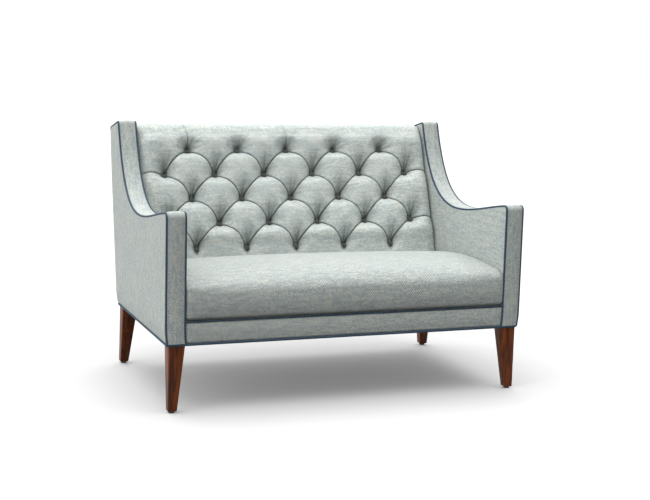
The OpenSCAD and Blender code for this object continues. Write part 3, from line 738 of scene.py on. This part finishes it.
def top_tucks(u, v):
    tuck = np.zeros(len(u))
    for tuck_u in (-4 * half_step, 0):
        path = tuck_u - 16 * MM * ease((v - 45 * MM) / (75 * MM))
        tuck = np.maximum(tuck, (1 - up_to(np.abs(u - path), 3.9 * MM)) * up_to(v, 12 * MM))
    return tuck


print("cloth goes down round each button over, in mm:", round(2000 * button_hole))

# %% [markdown]
# The height of the cloth is built up in the order in which it is made: foam that rises from the
# holes, the diamonds on it, pleats cut in, puckers and tucks, and then the whole is brought down
# beside the arms, behind the seat and over the top edge.

# %% Height of the tufted cloth
puff_h = 30 * MM
puff_reach = 58 * MM
puff_reach_top = 46 * MM
diamond_h = 13 * MM
diamond_change = 2 * MM
groove_depth = 4 * MM
groove_half = 2.2 * MM
side_fall = 48 * MM
side_drop = 4 * MM
roll_r = 38 * MM
roll_start = 70.2 * MM
top_slope = atan((wing_tip[1] - rear_tip[1]) / (rear_tip[0] - wing_tip[0]))
roll_angle = pi / 2 - back_lean + top_slope
roll_end = roll_start + roll_r * roll_angle


def tufted(u, v):
    """Height over the plane of the buttons, the place after bowing, and how much painted shade a place gets.
    """
    a, b = u / half_step, v / row_step
    clear, above, pucker = round_the_holes(u, v)
    rise = np.sin(pi / 2 * up_to(clear, np.where(b > 0, puff_reach_top, puff_reach))) ** 0.82
    # Every diamond is filled a little differently
    change = 0.5 + 0.5 * np.cos(2.1 * np.floor((a + b) / 2) + 3.7 * np.floor((a - b) / 2))
    diamond = (diamond_h + diamond_change * change) * fullness(a, b)
    w = puff_h * rise + diamond * up_to(clear, 40 * MM) ** 0.8
    groove = np.exp(-(pleat_distance(a, b) / groove_half) ** 1.5)
    groove *= np.exp(-np.clip(-4 - b, 0, None) / 0.1)
    w -= groove_depth * groove * up_to(clear, 12 * MM)
    ripple = (1.1 + 1.5 * above) * MM * np.exp(-clear / ((13 + 14 * above) * MM))
    w += ripple * pucker * up_to(clear, 6 * MM)
    tuck = top_tucks(u, v)
    w -= 2.5 * MM * tuck
    side = np.sqrt(1 - (1 - up_to(pad_x - np.abs(u), side_fall)) ** 2)
    w = w * side - side_drop * (1 - side)
    w = w * (0.42 + 0.58 * ease((b + 4.55) / 0.95))
    w = w * (0.16 + 0.84 * np.cos(pi / 2 * up_to(v, roll_end)) ** 1.1)
    # Painted shade: dark in the pleats, in a pocket reaching up from each hole, along the tucks and in the
    # seams beside the arms
    pocket_shade_mm = 7 + np.where(b > 0, 10, 30) * above
    pocket_shade = np.exp(-clear / (pocket_shade_mm * MM)) * (0.76 + 0.14 * above - 0.22 * above * pucker)
    painted_shade = 0.85 * groove * (clear > 0) + pocket_shade + 0.4 * tuck + seam_shade(pad_x - np.abs(u))
    across, up = bowed(a, b)
    hold = side * up_to(clear, 9 * MM)
    return w, np.clip(u + across * hold, -pad_x, pad_x), v + up * hold, np.clip(painted_shade, 0, 1)


print("the padding stands out by up to, in mm:", round(1000 * (puff_h + diamond_h + diamond_change)))

# %% [markdown]
# The cloth lies on the leaning plane of the buttons, turns over the top edge in a roll and goes on
# down the slope behind it. The grid has a whole number of cells in each row of buttons, so a pleat
# always meets the corners of cells, and each cell is split along the way that its pleat runs. The
# pleats are then edges of the mesh and stay sharp.

# %% Buttoned back
cells = 24
low_cells = 119
high_cells = round((roll_end + 66 * MM) / (row_step / cells))
back_t = 2.5 * MM


def back_form(s, t):
    # u runs across and v up the cloth, in metres from the middle of the top row of buttons
    u = (2 * s - 1) * half_back
    v = (t * (low_cells + high_cells) - low_cells) * row_step / cells
    w, u, v, painted_shade = tufted(u, v)
    turn = np.clip((v - roll_start) / roll_r, 0, roll_angle)
    past = np.clip(v - roll_end, 0, None)
    normal_angle = pi - back_lean - turn
    out = np.stack([np.cos(normal_angle), np.sin(normal_angle)], 1)
    along = np.stack([np.sin(normal_angle), -np.cos(normal_angle)], 1)
    flat = top_button + np.minimum(v, roll_start)[:, None] * lean_way
    centre = top_button + roll_start * lean_way - roll_r * face_way
    rolled = centre + roll_r * out + past[:, None] * along
    base = np.where((v > roll_start)[:, None], rolled, flat)
    return in_room(u, base + w[:, None] * out), np.stack([u, v], 1), painted_shade


def split_cells(piece, chosen, method):
    take_only(piece)
    bpy.ops.object.mode_set(mode="EDIT")
    bpy.ops.mesh.select_mode(type="FACE")
    bpy.ops.mesh.select_all(action="DESELECT")
    bpy.ops.object.mode_set(mode="OBJECT")
    piece.data.polygons.foreach_set("select", chosen)
    bpy.ops.object.mode_set(mode="EDIT")
    bpy.ops.mesh.quads_convert_to_tris(quad_method=method)
    bpy.ops.object.mode_set(mode="OBJECT")


def crease_pleats(piece):
    rising = []
    for face in piece.data.polygons:
        column = (face.center.x + 0.5) * 2 * spacings
        row = ((face.center.y + 0.5) * (low_cells + high_cells) - low_cells) / cells
        rising.append((int(np.floor(column)) + spacings + int(np.floor(row))) % 2 == 0)
    split_cells(piece, rising, "FIXED")
    split_cells(piece, [len(face.vertices) == 4 for face in piece.data.polygons], "FIXED_ALTERNATE")


cloth("buttoned_back_cover", 2 * spacings * cells, low_cells + high_cells, back_form, back_t,
      "back_pad", while_flat=crease_pleats)

# %% [markdown]
# The buttons are covered in the same fabric. One is made from a ball, flattened to a low dome in
# front and almost flat behind, and it is copied to every place on the lattice, each copy turned by
# a chance angle so that the weave doesn't line up. They stand in front of their holes and a little
# below them, so that the padding doesn't hide them.

# %% Covered buttons
button_r = 9.2 * MM
dome_front, dome_rear = 0.42, 0.2
button_proud = 12 * MM
button_below = 7 * MM
button_aside = 1.5 * MM
rest()
bpy.ops.mesh.primitive_uv_sphere_add(segments=24, ring_count=12, radius=button_r)
dome = bpy.context.object
for point in dome.data.vertices:
    point.co.z *= dome_front if point.co.z > 0 else dome_rear
covered = []
rng = np.random.default_rng(7)
turn_up = Matrix.Rotation(pi / 2 - back_lean, 4, "X")
for u, v in zip(button_u, button_v):
    copy = dome.copy()
    copy.data = dome.data.copy()
    bpy.context.collection.objects.link(copy)
    at = top_button + (v - button_below) * lean_way + button_proud * face_way
    place = Matrix.Translation((u - button_aside, at[0] + front_y, at[1]))
    spin = Matrix.Rotation(rng.uniform(0, pi), 4, "Z")
    copy.data.transform(place @ turn_up @ spin)
    covered.append(copy)
bpy.data.objects.remove(dome)
rest()
for copy in covered:
    copy.select_set(True)
bpy.context.view_layer.objects.active = covered[0]
bpy.ops.object.join()
buttons = bpy.context.object
buttons.name = buttons.data.name = "covered_buttons"
bpy.ops.object.shade_smooth()
belongs(buttons, "buttons")

# %% [markdown]
# Piping is a cord in a bias strip of contrast fabric, sewn into every seam. A tube could be swept
# with extrudes, but a curve with a round section is easier to lead along a seam. It is made a mesh
# once its line is settled.

# %% Piping of the arms
def piping(name, points, closed, replaced, radius=bead_r):
    rest()
    bpy.ops.curve.primitive_bezier_curve_add()
    cord = bpy.context.object
    cord.data.splines.clear()
    line = cord.data.splines.new("POLY")
    line.points.add(len(points) - 1)
    for point, place in zip(line.points, points):
        point.co = (*place, 1)
    line.use_cyclic_u = closed
    cord.data.dimensions = "3D"
    cord.data.bevel_depth = radius
    cord.data.bevel_resolution = 3
    cord.data.use_fill_caps = True
    cord.name = name
    take_only(cord)
    bpy.ops.object.convert(target="MESH")
    bpy.ops.object.transform_apply(location=True, rotation=True, scale=True)
    bpy.ops.object.shade_smooth()
    cord = bpy.context.object
    cord.data.name = name
    belongs(cord, replaced)


bead_line = moved_in(upper_line, bead_in)
bead_line[0, 1] = cover_low - bead_r
for side, hand in hands:
    for where, x in (("outer", outer_x - bead_in), ("inner", inner_x + bead_in)):
        places = [(float(tucked(side * x, z)), y + front_y, z) for y, z in bead_line]
        piping(f"{where}_piping_{hand}", places, False, f"piping_{where}_{hand}")

# %% [markdown]
# Two more lengths go round the hem, with a small round corner at each arm and post, and along the
# seam between the border and the seat, where the stitches leave the line very slightly uneven.

# %% Piping of the hem and of the seat
base_r = 4.2 * MM
base_z = cover_low - 0.3 * MM - base_r
base_x = float(tucked(outer_x - bead_in, base_z))
base_back = base_rear[0] - bead_in
corner_r = 8 * MM
corner_points = 7
ring_corners = (
    (base_x, bead_in, -90), (base_x, base_back, 0),
    (-base_x, base_back, 90), (-base_x, bead_in, 180))
ring = []
for x, y, start in ring_corners:
    centre_x = x - np.sign(x) * corner_r
    centre_y = y + (corner_r if y == bead_in else -corner_r) + front_y
    for i in range(corner_points):
        angle = radians(start + 90 * i / (corner_points - 1))
        ring.append((centre_x + corner_r * cos(angle), centre_y + corner_r * sin(angle), base_z))
piping("bottom_piping", ring, True, "base_piping", base_r)

seam_r = 3 * MM
seam_y = front_y + bead_in - 1 * MM
seam_z = float(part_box("seat_piping")[0].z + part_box("seat_piping")[1].z) / 2 - hem_drop
uneven = 0.4 * MM
seam_line = [(x, seam_y, seam_z + uneven * sin(x * 37)) for x in np.linspace(-border_x, border_x, 90)]
piping("seat_seam_piping", seam_line, False, "seat_piping", seam_r)

# %% [markdown]
# The legs are solid walnut, square and tapered on their two inner faces, so the outer faces run on
# from the arms. The rear legs rake backwards as well. Each starts as a block; its foot is drawn in,
# and its edges are eased with a bevel, because a sharp edge of wood would catch no light.

# %% Legs
leg_top = 56 * MM
leg_foot = 30 * MM
leg_rake = 16 * MM
leg_apart = 734 * MM
leg_ease = 1.6 * MM
leg_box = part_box("leg_front_left")
near_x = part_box("leg_front_right")[1].x
leg_ends = (("front", leg_box[0].y, 1, 0), ("back", leg_box[0].y + leg_apart, -1, leg_rake))
for side, hand in hands:
    for end, near_y, into, rake in leg_ends:
        rest()
        bpy.ops.mesh.primitive_cube_add(size=1)
        leg = bpy.context.object
        leg.name = leg.data.name = f"leg_{end}_{hand}_walnut"
        for point in leg.data.vertices:
            foot = point.co.z < 0
            size = leg_foot if foot else leg_top
            inner = point.co.x < 0
            away = point.co.y > 0
            point.co = (side * (near_x - (size if inner else 0)),
                        near_y + (rake if foot else 0) + into * (size if away else 0),
                        leg_box[0].z if foot else leg_box[1].z)
        edit_all(leg, bpy.ops.mesh.normals_make_consistent,
                 lambda: bpy.ops.mesh.bevel(offset=leg_ease, segments=3))
        bpy.ops.object.shade_smooth_by_angle(angle=radians(40))
        belongs(leg, f"leg_{end}_{hand}")

# %% [markdown]
# Materials are built from nodes. Hex colours are turned to linear light in one place, and one
# function adds a node with its settings and its links.

# %% Material helpers
def linear(hex_colour):
    parts = [int(hex_colour[i:i + 2], 16) / 255 for i in (1, 3, 5)]
    return tuple(c / 12.92 if c <= 0.04045 else ((c + 0.055) / 1.055) ** 2.4 for c in parts) + (1.0,)


def add(tree, kind, settings=None, inputs=None):
    made = tree.nodes.new(kind)
    for key, value in (settings or {}).items():
        setattr(made, key, value)
    for key, value in (inputs or {}).items():
        if isinstance(value, bpy.types.NodeSocket):
            tree.links.new(value, made.inputs[key])
        else:
            made.inputs[key].default_value = value
    return made


def new_material(name):
    material = bpy.data.materials.new(name)
    material.use_nodes = True
    tree = material.node_tree
    print("finish:", name)
    return material, tree, tree.nodes["Principled BSDF"]


def set_shader(shader, values):
    for key, value in values.items():
        shader.inputs[key].default_value = value


def ramp(tree, factor, stops):
    """Colours along a factor. The first two stops are the ends, and the others lie between them."""
    made = add(tree, "ShaderNodeValToRGB", inputs={"Fac": factor})
    for i, (place, colour) in enumerate(stops):
        stop = made.color_ramp.elements[i] if i < 2 else made.color_ramp.elements.new(place)
        stop.position = place
        stop.color = linear(colour)
    return made.outputs["Color"]


def roughen(tree, shader, strength, depth, height):
    """Bump of a given depth, from a height between 0 and 1."""
    bump = add(tree, "ShaderNodeBump", inputs={"Strength": strength, "Distance": depth, "Height": height})
    tree.links.new(bump.outputs["Normal"], shader.inputs["Normal"])


print("duck egg, in linear light:", [round(c, 3) for c in linear("#9aa3a5")[:3]])

# %% [markdown]
# The fabric is a plain weave of soft spun yarns in duck egg, cream, blue-grey and olive. From near
# it is a small chequer of lighter and darker crossings, with slubs along one yarn, and from afar a
# quiet mottle. Real yarns are about 1.3 mm apart, finer than the picture shows, so they are drawn
# 4.4 mm apart. Soft yarn scatters light, so it is rough and has a little sheen. Painted shade
# darkens the colour deep in a fold or seam, where the real cloth goes in further than the form does.
# One cloth covers everything, but three parts get another brightness, painted in place of light
# that this simple studio doesn't give: the back is lighter with painted light, and the seat a little
# darker and the buttons, deep in their pockets, much darker with painted shade.

# %% Upholstery fabric
yarn_pitch = 4.4 * MM
slub_l = 30 * MM


def weave_fabric(name, source, turned=False, brightness=1.0):
    material, tree, shader = new_material(name)

    def maths(operation, one, two, three=0.0):
        return add(tree, "ShaderNodeMath", {"operation": operation}, {0: one, 1: two, 2: three}).outputs[0]

    def chance(dimensions, inputs):
        return add(tree, "ShaderNodeTexWhiteNoise", {"noise_dimensions": dimensions}, inputs).outputs["Value"]

    def darkened(factor, colour, by):
        return add(tree, "ShaderNodeMix", {"data_type": "RGBA", "blend_type": "MULTIPLY"},
                   {"Factor": factor, "A": colour, "B": by}).outputs["Result"]

    if source == "Cloth":
        flat = add(tree, "ShaderNodeUVMap", {"uv_map": "Cloth"}).outputs["UV"]
    else:
        flat = add(tree, "ShaderNodeTexCoord").outputs["Object"]
    quarter = (0, 0, pi / 2 if turned else 0)
    place = add(tree, "ShaderNodeMapping", inputs={"Vector": flat, "Rotation": quarter}).outputs["Vector"]
    # Each crossing of two yarns is a cell, and every other one has the lighter yarn on top
    counted = add(tree, "ShaderNodeVectorMath", {"operation": "MULTIPLY"},
                  {0: place, 1: (1 / yarn_pitch, 1 / yarn_pitch, 1 / yarn_pitch)}).outputs["Vector"]
    crossing = add(tree, "ShaderNodeVectorMath", {"operation": "FLOOR"}, {0: counted}).outputs[0]
    yarn = chance("3D", {"Vector": crossing})
    parts = add(tree, "ShaderNodeSeparateXYZ", inputs={0: crossing})
    over = maths("FLOORED_MODULO", maths("ADD", parts.outputs["X"], parts.outputs["Y"]), 2.0)
    # Slubs are lengths of one weft yarn, and start at another place in each yarn
    start_of = maths("MULTIPLY", chance("1D", {"W": parts.outputs["Y"]}), 9.0)
    flat_x = add(tree, "ShaderNodeSeparateXYZ", inputs={0: place}).outputs["X"]
    piece_of = maths("FLOOR", maths("MULTIPLY_ADD", flat_x, 1 / slub_l, start_of), 0.0)
    slub_at = add(tree, "ShaderNodeCombineXYZ", inputs={0: piece_of, 1: parts.outputs["Y"]}).outputs[0]
    slub = chance("3D", {"Vector": slub_at})
    whole = maths("MULTIPLY_ADD", over, 0.42, 0.04)
    whole = maths("MULTIPLY_ADD", slub, 0.2, whole)
    whole = maths("MULTIPLY_ADD", yarn, 0.3, whole)
    colour = ramp(tree, whole, [
        (0.1, "#7c8580"), (0.92, "#bfc1ba"),
        (0.3, "#8a9698"), (0.44, "#a09f94"), (0.58, "#9aa3a5"), (0.76, "#b0b3ad")])
    # Painted shade: the colour is darkened where the cloth lies in a fold, pocket or seam
    painted_shade = add(tree, "ShaderNodeAttribute", {"attribute_name": "painted_fold_shade"}).outputs["Fac"]
    dark = darkened(painted_shade, colour, linear("#36433b"))
    # A whole part's painted light comes from brightness above 1, and its painted shade from brightness below
    # 1
    tone = darkened(1.0, dark, (brightness, brightness, brightness, 1))
    tree.links.new(tone, shader.inputs["Base Color"])
    roughen(tree, shader, 0.16, 0.5 * MM, maths("MULTIPLY_ADD", over, 0.4, slub))
    set_shader(shader, {
        "Roughness": 0.88, "Sheen Weight": 0.12, "Sheen Roughness": 0.5, "Specular IOR Level": 0.2})
    return material


fabric = weave_fabric("duck_egg_weave", "Cloth")
fabric_upright = weave_fabric("duck_egg_weave_upright", "Cloth", turned=True)
# The back's copy is lighter with painted light; the seat's and the buttons' copies are darker with painted
# shade
fabric_back = weave_fabric("duck_egg_weave_painted_light", "Cloth", brightness=1.24)
fabric_seat = weave_fabric("duck_egg_weave_painted_shade_seat", "Cloth", brightness=0.93)
fabric_button = weave_fabric("duck_egg_weave_painted_shade_buttons", "Object", brightness=0.15)

# %% [markdown]
# The legs are planed walnut with a satin lacquer: long dark grain runs down each leg, with finer
# pores between, and a soft shine lies along the eased edges. The frame is planed beech, pale and
# even. One tree of nodes makes both: noise stretched along the grain gives the figure, and a finer
# one the pores.

# %% Woods
def wood(name, dark, middle, light, grain_mm, roughness):
    material, tree, shader = new_material(name)
    where = add(tree, "ShaderNodeTexCoord").outputs["Object"]
    along = add(tree, "ShaderNodeMapping", inputs={"Vector": where, "Scale": (1, 1, 0.07)})
    along = along.outputs["Vector"]
    figure = add(tree, "ShaderNodeTexNoise", inputs={
        "Vector": along, "Scale": 1000 / (grain_mm * 4), "Detail": 5.0, "Distortion": 1.1})
    pores = add(tree, "ShaderNodeTexNoise", inputs={
        "Vector": along, "Scale": 1000 / grain_mm * 1.4, "Detail": 3.0})
    pores = pores.outputs["Fac"]
    total = add(tree, "ShaderNodeMath", {"operation": "MULTIPLY_ADD"},
                {0: pores, 1: 0.35, 2: figure.outputs["Fac"]})
    colour = ramp(tree, total.outputs["Value"], [(0.5, dark), (0.85, light), (0.66, middle)])
    tree.links.new(colour, shader.inputs["Base Color"])
    roughen(tree, shader, 0.15, 0.2 * MM, pores)
    set_shader(shader, {"Roughness": roughness, "Specular IOR Level": 0.22, "Coat Roughness": 0.3})
    return material


walnut = wood("lacquered_walnut", "#240c02", "#502304", "#73390d", 3.0, 0.42)
beech = wood("planed_beech", "#b98d5f", "#cfa878", "#dfc093", 2.0, 0.6)

# %% [markdown]
# The piping is navy slate cotton, woven and cut on the bias. Its threads are too fine to tell
# apart, so a fine mottle stands for them. Plain cotton has no shine: it gives the eye a dark matt
# line along every seam. The pieces out of sight are grained in the same way: woven jute webbing,
# hairy and matt; cut polyurethane foam, pale and open; zinc-plated steel, a dull bright metal; the
# thin black cotton of the dust cloth; and the moulded hard plastic of the glides, with a faint shine.

# %% Piping and hidden finishes
def grained(name, dark, light, size_mm, roughness, metallic=0.0, detail=3.0, ends=(0.35, 0.65),
            bump=0.2):
    material, tree, shader = new_material(name)
    where = add(tree, "ShaderNodeTexCoord").outputs["Object"]
    grain = add(tree, "ShaderNodeTexNoise", inputs={
        "Vector": where, "Scale": 1000 / size_mm, "Detail": detail}).outputs["Fac"]
    colour = ramp(tree, grain, [(ends[0], dark), (ends[1], light)])
    tree.links.new(colour, shader.inputs["Base Color"])
    roughen(tree, shader, bump, bump * MM, grain)
    set_shader(shader, {"Roughness": roughness, "Metallic": metallic})
    return material


cotton_mm = 1000 / 900
navy = grained("navy_slate_piping_cotton", "#1b2d3c", "#30475a", cotton_mm, 0.8,
               detail=2.0, ends=(0.3, 0.75), bump=0.3)
jute = grained("jute_webbing", "#5b5144", "#877a66", 3.0, 0.9)
foam = grained("polyurethane_foam", "#d8cf9e", "#e9e2b8", 2.0, 0.95)
steel = grained("zinc_plated_steel", "#9a9da0", "#b7babd", 5.0, 0.35, 1.0)
dust_cotton = grained("black_dust_cotton", "#141414", "#242424", 1.5, 0.95)
glide_plastic = grained("black_glide_plastic", "#101010", "#1a1a1a", 2.0, 0.5)

# %% [markdown]
# Names say what a piece is, so one table of words gives every piece its finish, and another does
# the same for the nodes of the construction model. The weave of the outside arms and the facings is
# turned a quarter, so that the slubs run up them. The nodes that a cover stands for are hidden and
# have no map, so they get the weave that needs none.

# %% Give every piece its finish
piece_finishes = {
    "outside_arm": fabric_upright, "facing": fabric_upright, "buttoned_back": fabric_back,
    "seat_cover": fabric_seat, "covered_buttons": fabric_button, "dust_cloth": dust_cotton,
    "piping": navy, "walnut": walnut}
covered_nodes = ("pad", "arm_inside", "arm_outside", "facing", "outside_back", "front_border", "buttons")
node_finishes = dict.fromkeys(covered_nodes, fabric_button)
node_finishes.update({
    "webs": jute, "foam": foam, "bolts": steel, "inserts": steel, "dust": dust_cotton,
    "glide": glide_plastic, "leg": walnut, "piping": navy})


def finish_of(piece, material):
    piece.data.materials.clear()
    piece.data.materials.append(material)


def by_name(name, finishes, otherwise):
    return next((finish for word, finish in finishes.items() if word in name), otherwise)


dressed = [piece for piece in bpy.data.objects if piece.type == "MESH" and "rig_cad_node" not in piece]
for piece in dressed:
    finish_of(piece, by_name(piece.name, piece_finishes, fabric))
for name, node in frame["nodes"].items():
    finish_of(node, by_name(name, node_finishes, beech))
print("pieces and nodes with a finish:", len(dressed), len(frame["nodes"]))

# %% [markdown]
# The studio is a white floor under five soft lights and a pale upper sky, as in a catalogue
# photograph: most light comes from overhead, and the left side is brighter than the right. Large
# lamps near the settee could do the same, but suns with a wide angle need no placing. The floor
# shines a little by itself and takes the contact shadow but sends no light back, so that it stays
# white while the fronts stay darker. Beyond it the camera sees plain white.

# %% Studio
floor_size = 60
floor_reach = 1.6
softbox_angle = radians(70)
sky_glow = 0.77
softboxes = (
    ("overhead", (0, 0, 1), 3.15), ("left", (-0.95, 0, 0.3), 1.9), ("behind", (0, 0.7, 0.7), 1.3),
    ("left_front", (-0.6, -0.7, 0.25), 0.3), ("right", (0.7, 0, 0.7), 0.17))
rest()
bpy.ops.mesh.primitive_plane_add(size=floor_size, location=(0, floor_size / 2 - floor_reach, 0))
floor = bpy.context.object
bpy.ops.object.transform_apply(location=True, rotation=True, scale=True)
floor.name = "studio_floor"
paper, tree, shader = new_material("white_studio_floor")
set_shader(shader, {
    "Base Color": linear("#b4b4b4"), "Roughness": 0.9, "Specular IOR Level": 0.1,
    "Emission Color": (1, 1, 1, 1), "Emission Strength": 0.11})
finish_of(floor, paper)
floor.visible_diffuse = False
floor.visible_shadow = False
for name, way, energy in softboxes:
    bpy.ops.object.light_add(type="SUN")
    sun = bpy.context.object
    sun.name = f"softbox_{name}"
    sun.data.energy = energy
    sun.data.angle = softbox_angle
    sun.rotation_euler = Vector(way).to_track_quat("Z", "Y").to_euler()

world = bpy.context.scene.world or bpy.data.worlds.new("studio")
bpy.context.scene.world = world
world.use_nodes = True
sky = world.node_tree
sky.nodes.clear()
way_seen = add(sky, "ShaderNodeTexCoord").outputs["Generated"]
way_up = add(sky, "ShaderNodeSeparateXYZ", inputs={0: way_seen}).outputs["Z"]
upper = add(sky, "ShaderNodeMath", {"operation": "GREATER_THAN"}, {0: way_up, 1: 0.0}).outputs[0]
glow = add(sky, "ShaderNodeMath", {"operation": "MULTIPLY"}, {0: upper, 1: sky_glow}).outputs[0]
ambient = add(sky, "ShaderNodeBackground", inputs={"Color": (1, 1, 1, 1), "Strength": glow})
white = add(sky, "ShaderNodeBackground", inputs={"Color": (1, 1, 1, 1), "Strength": 1.0})
seen = add(sky, "ShaderNodeLightPath").outputs["Is Camera Ray"]
blend = add(sky, "ShaderNodeMixShader", inputs={0: seen, 1: ambient.outputs[0], 2: white.outputs[0]})
add(sky, "ShaderNodeOutputWorld", inputs={"Surface": blend.outputs[0]})
bpy.context.scene.view_settings.view_transform = "Standard"
print("soft lights:", len(softboxes))

# %% [markdown]
# The camera stands left of the middle and a little above, where the photograph was taken from. Its
# place and turn were worked out from the corners of the settee in a picture 650 pixels wide. The
# lens is a long one, so lines run together only a little.

# %% Camera
picture_width = 650
lens_in_pixels = 1334.68
camera_place = Vector((-1.7014, -4.5562, 1.2089))
right = Vector((0.9337, -0.3572, 0.0263)).normalized()
up = Vector((0.0300, 0.1512, 0.9880)).normalized()
back_way = right.cross(up).normalized()
up = back_way.cross(right).normalized()
bpy.ops.object.camera_add()
camera = bpy.context.object
camera.matrix_world = Matrix((
    (right.x, up.x, back_way.x, camera_place.x),
    (right.y, up.y, back_way.y, camera_place.y),
    (right.z, up.z, back_way.z, camera_place.z),
    (0, 0, 0, 1)))
camera.data.sensor_width = 36
camera.data.lens = lens_in_pixels / picture_width * camera.data.sensor_width
bpy.context.scene.camera = camera
print("lens in mm:", round(camera.data.lens, 1))
